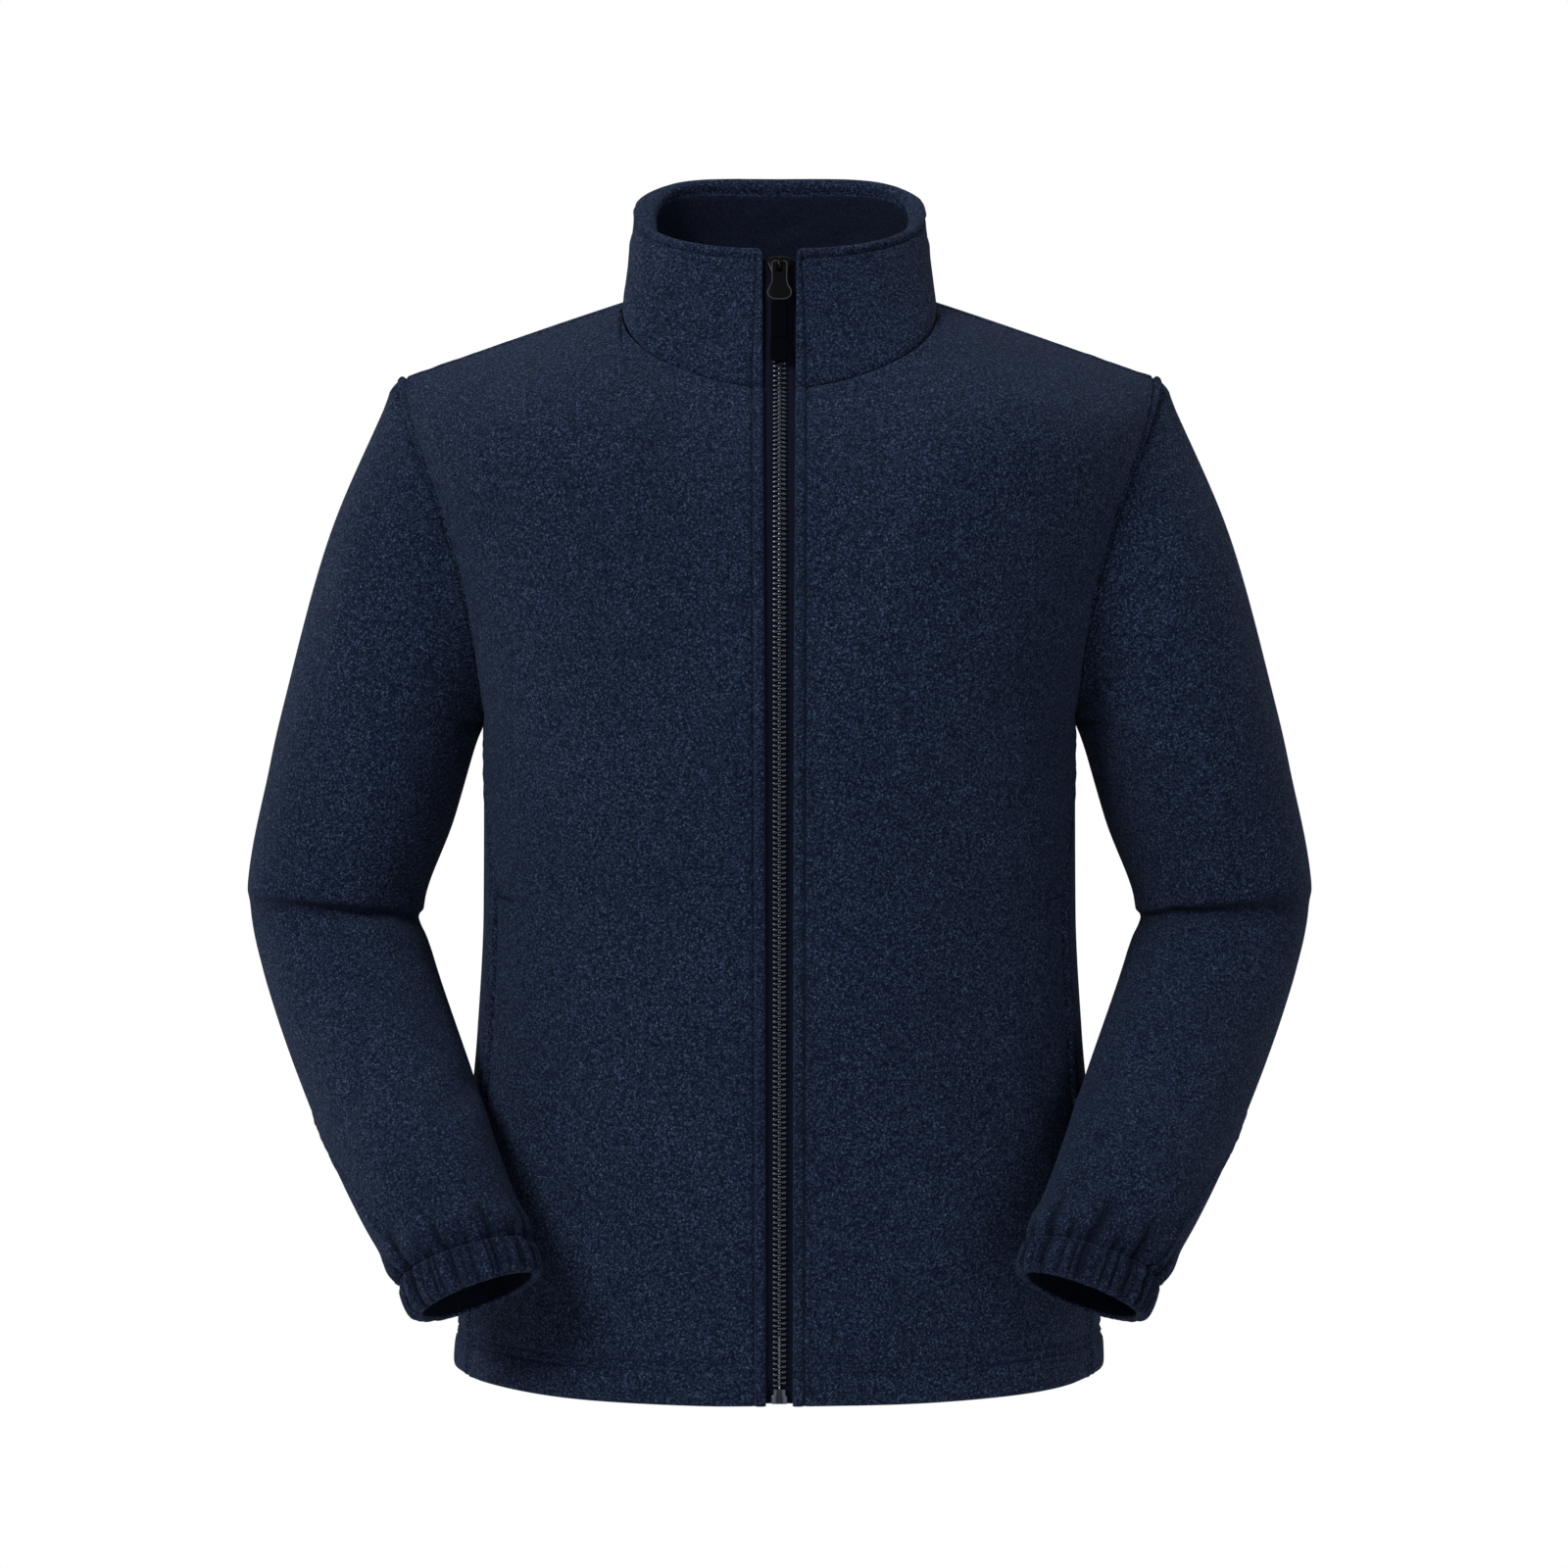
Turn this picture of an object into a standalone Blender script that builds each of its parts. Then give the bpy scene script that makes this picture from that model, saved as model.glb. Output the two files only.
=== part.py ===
"""A fleece jacket with a full-length zip, worn and hollow: Blender source.

Metres, +Z up. The wearer faces -Y, so the wearer's left side is +X. The origin is
the middle of the neck, at the height where the collar meets the shoulders.
Every wall is worked out from a surface: a panel is a function of (u, v), its
outer points lie on that surface, and its inner points are moved in along it.
"""
import math

import bmesh
import bpy
import numpy as np
from mathutils import Vector

# Cloth
FLEECE = 0.0025              # one layer
HEM_TURN = 0.023             # height of the turned hem
HEM_EXTRA = 0.0018           # what the turned-up layer adds inside
COLLAR_CLOTH = 0.0060        # two layers and their seam allowance
CUFF_CLOTH = 0.0066          # casing: two layers round an elastic, puffed by its gathers
SEAM_GAP = 0.0003

# Body
HEM_Z = -0.682               # lower edge at the front and back
HEM_LIFT = 0.005             # how much higher it is at the sides
UNDERARM_Z = -0.265
SHOULDER_X, SHOULDER_Z = 0.2445, -0.0525
NECK_HALF = 0.100            # collar seam to centre, at the shoulder seam
SHOULDER_RISE = -0.004       # shoulder seam at the collar
SHOULDER_SLOPE = 0.35
CREST_ROUND = 0.040          # how softly the shoulder line bends at the neck
CREST_TILT = 0.30            # the yoke leans forward
FRONT_NECK_Z = -0.0527       # neckline before the lean is added
BACK_NECK_Z = -0.008
FRONT_NECK_POWER, BACK_NECK_POWER = 1.7, 2.4
ROUNDNESS, BACK_RIM_ROUNDNESS = 2.3, 2.8       # 2 is an ellipse in plan, more is squarer

# Collar
RIM_HALF = 0.0925            # half width at the top
RIM_MIDDLE_Y, RIM_SIDE_Z = 0.015, 0.062
RIM_FRONT, RIM_BACK = 0.077, 0.073
RIM_FALL_FRONT, RIM_FALL_BACK = 0.506, 0.384   # drop and rise of the rim, per metre of y
COLLAR_GROOVE = 0.0008       # pressed in by the rim's topstitching
COLLAR_PAD = 0.0065          # how much thicker the rolled rim is than the rest, at the sides

# Zip
TAPE_DEPTH, TAPE_CLOTH = 0.0029, 0.0010
TAPE_UNDER = 0.0080          # how far a tape runs behind the front
CHAIN_HALF, CHAIN_BACK, CHAIN_FRONT = 0.0042, 0.0025, 0.0002
SLIDER_Z = 0.0108
SLIDER_HALF_LENGTH = 0.0062
ZIP_BOX_HEIGHT = 0.0090

# Sleeve
GATHERS = 18                 # waves round an elastic cuff
GATHER_DEPTH = 0.0016

NECK_SHARE = 0.4             # share of a half panel's width that lies inside the neck
NECK_STEPS, SIDE_STEPS = 6, 8
ROWS_BELOW = 12              # rows from the hem to the underarm
ARM_STEPS = 12               # rows from the underarm to the shoulder
TINY = 1e-4


def named_table(names, rows):
    return {name: np.array(column, float) for name, column in zip(names.split(), zip(*rows))}


BODY = named_table("z half_width front back", [
    (-0.690, 0.2050, 0.140, 0.130),
    (-0.560, 0.2000, 0.139, 0.122),
    (-0.470, 0.1920, 0.138, 0.116),
    (-0.390, 0.1880, 0.139, 0.115),
    (-0.320, 0.1877, 0.144, 0.119),
    (-0.265, 0.1877, 0.147, 0.124),
])

CHEST = named_table("z half_width front back", [
    (-0.265, 0.1877, 0.147, 0.124),
    (-0.251, 0.1910, 0.1475, 0.125),
    (-0.234, 0.1952, 0.148, 0.126),
    (-0.212, 0.2011, 0.148, 0.128),
    (-0.162, 0.2165, 0.147, 0.130),
    (-0.113, 0.2315, 0.1445, 0.131),
    (-0.066, 0.2435, 0.138, 0.129),
    (-0.020, 0.2540, 0.128, 0.124),
    (0.040, 0.2640, 0.118, 0.112),
])

# Front edge of the sleeve opening, seen from the front
ARMHOLE = named_table("z x", [
    (-0.265, 0.1877), (-0.236, 0.1895), (-0.2006, 0.1938), (-0.1524, 0.2064),
    (-0.1052, 0.2234), (-0.078, 0.2340), (-0.0525, 0.2445),
])

# Height over which the yoke rounds over to the chest and to the back
YOKE = named_table("x front back", [
    (0.00, 0.280, 0.105), (0.05, 0.240, 0.105), (0.10, 0.140, 0.100),
    (0.16, 0.100, 0.095), (0.25, 0.085, 0.085),
])

# Where the side seam runs round the body: 0 centre front, 1 side, 2 centre back
SIDE_SEAM = named_table("z turn", [
    (-0.690, 0.780), (-0.460, 0.785), (-0.374, 0.790), (-0.320, 0.870), (-0.265, 1.0),
])

# Half width of the gap that the zip fills
ZIP_GAP = named_table("z half", [
    (-0.690, 0.0080), (-0.300, 0.0085), (-0.068, 0.0095), (0.030, 0.0105),
])

# Rings down the left sleeve: cap, biceps, above the elbow, elbow, below it, forearm, wrist, cuff
SLEEVE = named_table("x y z half_width half_depth roll pitch", [
    (0.2383, 0.002, -0.2125, 0.0769, 0.0690, 50.7, 0.0),
    (0.2545, 0.004, -0.2690, 0.0622, 0.0700, 16.7, 0.0),
    (0.2670, 0.008, -0.3150, 0.0610, 0.0660, 16.7, 0.0),
    (0.2847, 0.012, -0.3880, 0.0558, 0.0580, 4.4, 3.0),
    (0.2770, 0.002, -0.4180, 0.0537, 0.0550, -9.0, 14.0),
    (0.2377, -0.068, -0.5040, 0.0504, 0.0480, -21.5, 29.0),
    (0.2088, -0.121, -0.5568, 0.0459, 0.0445, -23.0, 30.0),
    (0.1864, -0.147, -0.5950, 0.0420, 0.0390, -19.5, 24.0),
])
ELBOW_RING = 4               # counted with the armhole as ring 0

# The crease across the elbow: distance past it, push outward, slip down the arm
ELBOW_FOLD = named_table("along out slip", [
    (-0.0355, 0.0002, 0.0000), (-0.0215, 0.0006, 0.0006), (-0.0090, 0.0016, 0.0022),
    (-0.0035, -0.0006, 0.0028), (0.0010, -0.0060, 0.0010), (0.0045, -0.0076, 0.0003),
    (0.0105, -0.0062, 0.0001), (0.0245, -0.0022, 0.0000), (0.0425, 0.0000, 0.0000),
])

# The gathered casing at the wrist, from its seam to its rim
CUFF_FROM = dict(x=0.1864, y=-0.147, z=-0.5950, half_width=0.0414, half_depth=0.0384, roll=-19.5, pitch=24.0)
CUFF_TO = dict(x=0.1782, y=-0.158, z=-0.6135, half_width=0.0402, half_depth=0.0360, roll=-21.5, pitch=20.5)


def smooth(at, xs, ys):
    """Monotone cubic through (xs, ys); ys may be points. Clamped past both ends."""
    at = np.clip(np.asarray(at, float), xs[0], xs[-1])
    ys = np.asarray(ys, float)
    steps = np.diff(xs)
    slopes = np.diff(ys, axis=0) / steps.reshape((-1,) + (1,) * (ys.ndim - 1))
    before, after = slopes[:-1], slopes[1:]
    product = before * after
    turning = product <= 0
    inner = np.where(turning, 0.0, 2 * product / np.where(turning, 1.0, before + after))
    tangents = np.concatenate([slopes[:1], inner, slopes[-1:]])
    k = np.clip(np.searchsorted(xs, at, side="right") - 1, 0, len(xs) - 2)
    extra = (...,) + (None,) * (ys.ndim - 1)
    width = steps[k][extra]
    s = ((at - xs[k]) / steps[k])[extra]
    return ((2 * s**3 - 3 * s**2 + 1) * ys[k] + (s**3 - 2 * s**2 + s) * width * tangents[k]
            + (3 * s**2 - 2 * s**3) * ys[k + 1] + (s**3 - s**2) * width * tangents[k + 1])


def look_up(table, column, at):
    keys = next(iter(table))
    return smooth(at, table[keys], table[column])


def unit(vectors):
    return vectors / np.maximum(np.linalg.norm(vectors, axis=-1, keepdims=True), 1e-30)


def along_x(share_of_turn):
    return np.sin(np.pi / 2 * share_of_turn) ** (2 / ROUNDNESS)


def turn_of(share_of_width):
    return 2 / np.pi * np.arcsin(np.clip(share_of_width, 0, 1) ** (ROUNDNESS / 2))


NECK_TURN = turn_of(NECK_HALF / SHOULDER_X)


def crest(x):
    return SHOULDER_RISE - SHOULDER_SLOPE * (np.hypot(x, CREST_ROUND) - math.hypot(NECK_HALF, CREST_ROUND))


def neckline(x, face):
    depth, power = (FRONT_NECK_Z, FRONT_NECK_POWER) if face < 0 else (BACK_NECK_Z, BACK_NECK_POWER)
    share = np.clip(np.abs(x) / NECK_HALF, 0, 1)
    return depth + (SHOULDER_RISE - depth) * (1 - (1 - share**power) ** (1 / power))


def torso(x, z, face):
    """A point of the body's surface above the underarm. face is -1 in front, 1 behind."""
    side = "front" if face < 0 else "back"
    reach = np.clip(x / look_up(CHEST, "half_width", z), 0, 1)
    depth = look_up(CHEST, side, z) * (1 - reach**ROUNDNESS) ** (1 / ROUNDNESS)
    fall = np.clip((crest(x) - z) / look_up(YOKE, side, x), 0, 1)
    y = face * depth * np.sqrt(1 - (1 - fall) ** 2)
    return np.stack([x, y, z + CREST_TILT * y * (1 - fall) ** 2], axis=-1)


def ring(z, turn):
    """A point of the body's surface below the underarm."""
    half_width = look_up(BODY, "half_width", z)
    behind = turn > 1
    quarter = np.where(behind, 2 - turn, turn)
    x = half_width * along_x(quarter)
    depth = np.where(behind, look_up(BODY, "back", z), -look_up(BODY, "front", z))
    y = depth * np.clip(np.cos(np.pi / 2 * quarter), 0, 1) ** (2 / ROUNDNESS)
    down = np.clip((UNDERARM_Z - z) / (UNDERARM_Z - HEM_Z), 0, 1)
    return np.stack([x, y, z + HEM_LIFT * down * (x / half_width) ** 4], axis=-1)


def split_share(u):
    """Shares across the neck part and across the side part of a half panel."""
    return np.clip(u / NECK_SHARE, 0, 1), np.clip((u - NECK_SHARE) / (1 - NECK_SHARE), 0, 1)


def arm_x(rise):
    return look_up(ARMHOLE, "x", UNDERARM_Z + rise * (SHOULDER_Z - UNDERARM_Z))


def half_panel(u, v, face):
    """Half a front (face -1) or half the back (face 1), on the wearer's left.

    u runs from the centre to the side, v from the hem (0) past the underarm (0.5)
    to the neckline and the shoulder (1).
    """
    u, v = np.broadcast_arrays(np.asarray(u, float), np.asarray(v, float))
    neck, side = split_share(u)

    z_low = UNDERARM_Z + np.clip(1 - 2 * v, 0, 1) * (HEM_Z - UNDERARM_Z)
    seam = look_up(SIDE_SEAM, "turn", z_low)
    gap = look_up(ZIP_GAP, "half", z_low)
    start = turn_of(gap / look_up(BODY, "half_width", z_low)) if face < 0 else 0.0
    end = seam if face < 0 else 2 - seam
    turn = np.where(u < NECK_SHARE, start + neck * (NECK_TURN - start), NECK_TURN + side * (end - NECK_TURN))
    low = ring(z_low, turn if face < 0 else 2 - turn)

    rise = np.clip(2 * v - 1, 0, 1)
    shares = along_x(NECK_TURN + side * (1 - NECK_TURN))

    def across(width, centre):
        return np.where(u < NECK_SHARE, centre + neck * (shares * width - centre), shares * width)

    z_row = UNDERARM_Z + rise * (FRONT_NECK_Z - UNDERARM_Z)
    centre = look_up(ZIP_GAP, "half", z_row) if face < 0 else 0.0
    centre_top = float(look_up(ZIP_GAP, "half", FRONT_NECK_Z)) if face < 0 else 0.0
    x_top = across(SHOULDER_X, centre_top)
    z_top = np.where(x_top < NECK_HALF - 1e-9, neckline(x_top, face), crest(x_top))
    x = across(arm_x(rise), centre)
    high = torso(x, UNDERARM_Z + rise * (z_top - UNDERARM_Z), face)
    return np.where((v < 0.5)[..., None], low, high)


def collar(c, h):
    """The collar's outer face. c is -1 and 1 at the zip and 0 behind, h is 0 at the seam and 1 at the rim."""
    c, h = np.broadcast_arrays(np.asarray(c, float), np.asarray(h, float))
    side = np.where(c < 0, -1.0, 1.0)
    around = np.abs(c)
    front = half_panel(NECK_SHARE * np.clip(2 - 2 * around, 0, 1), 1.0, -1)
    back = half_panel(NECK_SHARE * np.clip(2 * around, 0, 1), 1.0, 1)
    base = np.where((around > 0.5)[..., None], front, back)
    low_gap, high_gap = look_up(ZIP_GAP, "half", -0.068), look_up(ZIP_GAP, "half", 0.030)
    in_front = (high_gap + (base[..., 0] - low_gap) * (RIM_HALF - high_gap) / (NECK_HALF - low_gap)) / RIM_HALF
    share = np.clip(np.where(around > 0.5, in_front, base[..., 0] / NECK_HALF), 0, 1)
    power = np.where(around > 0.5, ROUNDNESS, BACK_RIM_ROUNDNESS)
    round_off = (1 - share**power) ** (1 / power)
    reach = np.where(around > 0.5, -RIM_FRONT, RIM_BACK) * round_off
    fall = np.where(around > 0.5, RIM_FALL_FRONT, RIM_FALL_BACK)
    rim = np.stack([share * RIM_HALF, RIM_MIDDLE_Y + reach, RIM_SIDE_Z + fall * reach], axis=-1)
    point = base + (rim - base) * h[..., None]
    point[..., 0] *= side
    return point


def oval(section, phi):
    """A ring of a sleeve: phi is 0 outside, a quarter turn in front, a half turn inside."""
    roll, pitch = math.radians(section["roll"]), math.radians(section["pitch"])
    outward = np.array([math.cos(roll), 0.0, math.sin(roll)])
    forward = np.array([0.0, -math.cos(pitch), math.sin(pitch)])
    forward = unit(forward - forward.dot(outward) * outward)
    centre = np.array([section["x"], section["y"], section["z"]])
    return (centre + section["half_width"] * np.cos(phi)[..., None] * outward
            + section["half_depth"] * np.sin(phi)[..., None] * forward)


def armhole(phi):
    """The edge that the sleeve is sewn to, on the left."""
    rise = (1 + np.cos(phi)) / 2
    behind = np.sin(phi) < -1e-9
    front = half_panel(1.0, 0.5 + rise / 2, -1)
    back = half_panel(1.0, 0.5 + rise / 2, 1)
    return np.where(behind[..., None], back, front)


def sleeve_rings(phi):
    rows = [dict(zip(SLEEVE, values)) for values in zip(*SLEEVE.values())]
    return np.stack([armhole(phi)] + [oval(row, phi) for row in rows])


def ring_places():
    """How far along the sleeve each ring lies, 0 to 1, and the sleeve's length."""
    rings = sleeve_rings(np.linspace(0, 2 * np.pi, 25))
    steps = np.linalg.norm(np.diff(rings, axis=0), axis=-1).mean(axis=1)
    places = np.concatenate([[0.0], np.cumsum(steps)])
    return places / places[-1], places[-1]


SLEEVE_PLACES, SLEEVE_LENGTH = ring_places()
ELBOW_PLACE = SLEEVE_PLACES[ELBOW_RING]


def sleeve(phi, v):
    """The left sleeve's outer face, from the armhole (0) to the cuff seam (1)."""
    phi, v = np.broadcast_arrays(np.asarray(phi, float), np.asarray(v, float))
    shape = phi.shape
    phi, v = phi.ravel(), np.clip(v.ravel(), 0, 1)
    rings = sleeve_rings(phi)
    picks = np.arange(len(phi))

    def on_rings(at):
        # each point has its own phi, so each is interpolated down its own line
        return np.stack([smooth(at[i:i + 1], SLEEVE_PLACES, rings[:, i])[0] for i in picks])

    point = on_rings(v)
    past = (v - ELBOW_PLACE) * SLEEVE_LENGTH
    weight = 0.28 + 0.55 * np.sin(phi) - 0.15 * np.cos(phi)
    weight = np.clip(weight, 0, 1)
    centre = smooth(v, SLEEVE_PLACES[1:], np.stack([SLEEVE["x"], SLEEVE["y"], SLEEVE["z"]], axis=-1))
    down = unit(on_rings(np.clip(v + 0.02, 0, 1)) - on_rings(np.clip(v - 0.02, 0, 1)))
    outward = unit(point - centre)
    point = (point + outward * (weight * look_up(ELBOW_FOLD, "out", past))[:, None]
             + down * (weight * look_up(ELBOW_FOLD, "slip", past))[:, None])
    return point.reshape(shape + (3,))


def cuff(phi, v):
    """The left cuff's outer face, from its seam (0) to its rim (1)."""
    phi, v = np.broadcast_arrays(np.asarray(phi, float), np.asarray(v, float))
    first, last = oval(CUFF_FROM, phi), oval(CUFF_TO, phi)
    start = SEAM_GAP / np.linalg.norm(last - first, axis=-1)
    share = start + v * (1 - start)
    belly = 0.0012 * np.sin(np.pi * v)
    centre = oval(dict(CUFF_FROM, half_width=0.0, half_depth=0.0), phi)
    return first + (last - first) * share[..., None] + unit(first - centre) * belly[..., None]


def normals(surface, u, v):
    """Outward normals of surface(u, v) by small steps inside its range."""
    u, v = np.broadcast_arrays(np.asarray(u, float), np.asarray(v, float))
    low_u, high_u = np.maximum(u - TINY, u.min()), np.minimum(u + TINY, u.max())
    low_v, high_v = np.maximum(v - TINY, v.min()), np.minimum(v + TINY, v.max())
    return unit(np.cross(surface(high_u, v) - surface(low_u, v), surface(u, high_v) - surface(u, low_v)))


def facing_out(vectors, points, middle):
    """Turn a whole grid of normals so that most of them point away from the middle."""
    return vectors if ((points - middle) * vectors).sum() > 0 else -vectors


def pull_in(points, edge, distance):
    """Shorten a grid at one edge, along its own lines, to leave a seam gap."""
    view = {"first_row": points, "last_row": points[::-1],
            "first_column": points.swapaxes(0, 1), "last_column": points.swapaxes(0, 1)[::-1]}[edge]
    view[0] += unit(view[1] - view[0]) * distance


def quads(rows, columns, wrap, first):
    """Faces of a grid of vertices that starts at number first."""
    across = columns if wrap else columns - 1
    for i in range(rows - 1):
        for j in range(across):
            k = (j + 1) % columns
            yield (first + i * columns + j, first + i * columns + k,
                   first + (i + 1) * columns + k, first + (i + 1) * columns + j)


def wall_faces(rows, columns, wrap):
    """A closed wall from an outer and an inner grid of the same size.

    The faces across a seam twist, so both sides are cut along the same diagonal: from the
    lower outer point to the upper inner one. A sleeve's first row runs down its front and
    up its back.
    """
    count = rows * columns
    faces = list(quads(rows, columns, wrap, 0))
    faces += [face[::-1] for face in quads(rows, columns, wrap, count)]
    across = columns if wrap else columns - 1
    for i in (0, rows - 1):
        for j in range(across):
            a, b = i * columns + j, i * columns + (j + 1) % columns
            if wrap and j < columns // 2:
                pair = [(a, b, a + count), (b, b + count, a + count)]
            else:
                pair = [(a, b, b + count), (a, b + count, a + count)]
            faces += pair if i else [face[::-1] for face in pair]
    if not wrap:
        for j in (0, columns - 1):
            for i in range(rows - 1):
                a, b = i * columns + j, (i + 1) * columns + j
                pair = [(a, b, b + count), (a, b + count, a + count)]
                faces += pair if j == 0 else [face[::-1] for face in pair]
    return faces


def finish(name, vertices, faces, material):
    """A named object from vertices and faces, its faces turned out."""
    mesh = bpy.data.meshes.new(name)
    mesh.from_pydata([tuple(map(float, v)) for v in vertices], [], faces)
    shape = bmesh.new()
    shape.from_mesh(mesh)
    bmesh.ops.recalc_face_normals(shape, faces=shape.faces)
    shape.to_mesh(mesh)
    shape.free()
    mesh.shade_smooth()
    mesh.set_sharp_from_angle(angle=math.radians(50))
    mesh.materials.append(material)
    thing = bpy.data.objects.new(name, mesh)
    bpy.context.scene.collection.objects.link(thing)
    return thing


def add_wall(name, outer, inner, material, wrap=False):
    rows, columns = outer.shape[:2]
    vertices = np.concatenate([outer.reshape(-1, 3), inner.reshape(-1, 3)])
    return finish(name, vertices, wall_faces(rows, columns, wrap), material)


def add_pair(name, outer, inner, material, wrap=False):
    """The left piece and its mirror image on the right."""
    add_wall(name + "_left", outer, inner, material, wrap)
    flip = np.array([-1.0, 1.0, 1.0])
    add_wall(name + "_right", outer * flip, inner * flip, material, wrap)


def material(name, colour, roughness, metallic=0.0):
    made = bpy.data.materials.new(name)
    made.use_nodes = True
    shader = made.node_tree.nodes["Principled BSDF"]
    shader.inputs["Base Color"].default_value = (*colour, 1)
    shader.inputs["Roughness"].default_value = roughness
    shader.inputs["Metallic"].default_value = metallic
    made.diffuse_color = (*colour, 1)
    return made


def arm_angles():
    """Angles round a sleeve whose points fall on the panels' rows."""
    front = np.linspace(0, np.pi, ARM_STEPS + 1)
    return np.concatenate([front, front[1:-1] + np.pi])


def panel_rows():
    """v of each row: even to the hem, crowded at the turned hem, then the armhole's own rows."""
    turn = HEM_TURN / (UNDERARM_Z - HEM_Z) / 2
    below = np.concatenate([[0.0, turn * 0.95, turn * 1.15], np.linspace(0.5, turn, ROWS_BELOW - 2, endpoint=False)[::-1]])
    rise = (1 + np.cos(np.linspace(np.pi, 0, ARM_STEPS + 1))) / 2
    return np.concatenate([below[:-1], 0.5 + rise / 2])


def armhole_joint():
    """At each point of the armhole: the shared edge direction into the walls, and the way across the seam."""
    phi = arm_angles()
    behind = np.sin(phi) < -1e-9
    rise = (1 + np.cos(phi)) / 2
    v = 0.5 + rise / 2
    step = np.where(v > 0.75, -TINY, TINY)

    def panel_normal(face):
        across = half_panel(1.0, v, face) - half_panel(1.0 - TINY, v, face)
        up = (half_panel(1.0, v + step, face) - half_panel(1.0, v, face)) * np.sign(step)[:, None]
        return unit(np.cross(across, up)) * -face

    body = np.where(behind[:, None], panel_normal(1), panel_normal(-1))
    points = armhole(phi)
    around = armhole(phi + TINY) - armhole(phi - TINY)
    outside = sleeve(phi, np.full(len(phi), 0.012)) - points
    arm = unit(np.cross(around, outside))
    centre = points.mean(axis=0)
    arm *= np.sign(((points - centre) * arm).sum(axis=-1).mean())
    inward = -unit(body + arm)
    length = np.minimum(FLEECE / np.maximum((-inward * body).sum(axis=-1), 0.2), 1.8 * FLEECE)
    across = unit(np.cross(inward, around))
    across *= np.where((across * outside).sum(axis=-1) < 0, -1, 1)[:, None]
    return dict(phi=phi, inward=inward * length[:, None], across=across)


def neck_steps():
    """Shares of the neck's half width, even round the curve."""
    return np.sin(np.linspace(0, np.pi / 2, NECK_STEPS + 1))


def build_panels(cloth, joint):
    """Two fronts and a back."""
    v = panel_rows()
    side = np.linspace(NECK_SHARE, 1, SIDE_STEPS + 1)
    u = np.concatenate([NECK_SHARE * neck_steps()[:-1], side])
    grids = {}
    for face in (-1, 1):
        grid_v, grid_u = np.meshgrid(v, u, indexing="ij")

        def surface(a, b, face=face):
            return half_panel(a, b, face)

        outer = surface(grid_u, grid_v)
        out = normals(surface, grid_u, grid_v)
        out = facing_out(out, outer, np.array([0.0, 0.0, -0.35]))
        thick = np.full(grid_u.shape, FLEECE)
        turned = grid_v < HEM_TURN / (UNDERARM_Z - HEM_Z) / 2
        beside_zip = (grid_u < 0.13) & (face < 0)
        thick[turned & ~beside_zip] += HEM_EXTRA
        inner_step = -out * thick[..., None]

        # the armhole edge shares its cut with the sleeve
        edge = [np.argmin(np.abs((0.5 + (1 + np.cos(joint["phi"])) / 4) - row)
                          + np.where((np.sin(joint["phi"]) * face < -1e-9) | (np.abs(np.sin(joint["phi"])) < 1e-9), 0, 9))
                for row in v[v >= 0.5 - 1e-9]]
        rows = np.flatnonzero(v >= 0.5 - 1e-9)
        inner_step[rows, -1] = joint["inward"][edge]
        pull_in(outer, "last_row", SEAM_GAP / 2)
        below = np.flatnonzero(v < 0.5 + 1e-9)
        outer[below, -1] += unit(outer[below, -2] - outer[below, -1]) * SEAM_GAP / 2
        outer[rows, -1] -= joint["across"][edge] * SEAM_GAP / 2
        grids[face] = outer, outer + inner_step

    add_pair("front", *grids[-1], cloth)
    outer, inner = grids[1]
    flip = np.array([-1.0, 1.0, 1.0])
    whole = [np.concatenate([(grid * flip)[:, :0:-1], grid], axis=1) for grid in (outer, inner)]
    add_wall("back", *whole, cloth)
    return grids[-1]


def build_collar(cloth):
    half = neck_steps() / 2
    quarter_round = np.concatenate([half[:-1], 1 - half[::-1]])
    c = np.concatenate([-quarter_round[:0:-1], quarter_round])
    profile = named_table("below_rim inset pad thin", [
        (1.0, 0.0, 0.0, 0.0), (0.78, 0.0, 0.0, 0.0), (0.50, 0.0, 0.12, 0.0), (0.25, 0.0, 0.50, 0.0),
        (0.125, 0.0, 0.90, 0.0), (0.095, COLLAR_GROOVE, 1.0, 0.0), (0.065, 0.0, 1.0, 0.0),
        (0.02, 0.0006, 0.90, 0.0006), (0.0, 0.0022, 0.75, 0.0022),
    ])
    padding = named_table("around share", [(0.0, 0.6), (0.25, 0.8), (0.5, 1.0), (0.72, 0.8), (0.9, 0.25), (1.0, 0.0)])
    grid_h, grid_c = np.meshgrid(1 - profile["below_rim"], c, indexing="ij")
    surface = collar(grid_c, grid_h)
    out = facing_out(normals(collar, grid_c, grid_h), surface, np.array([0.0, 0.01, 0.0]))
    corner = np.array([0.0035] + [0.0] * (len(c) - 2) + [0.0035])
    up = unit(surface[-1] - surface[-2])
    surface[-1] -= up * corner[:, None]
    surface[-2] -= up * corner[:, None] * 0.4
    inset = profile["inset"][:, None, None]
    pad = COLLAR_PAD * profile["pad"][:, None] * look_up(padding, "share", np.abs(c))
    thick = COLLAR_CLOTH + pad - profile["thin"][:, None]
    outer = surface - out * inset
    inner = surface - out * thick[..., None]
    for grid in (outer, inner):
        grid[0] += unit(grid[1] - grid[0]) * SEAM_GAP
    add_wall("collar", outer, inner, cloth)


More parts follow.
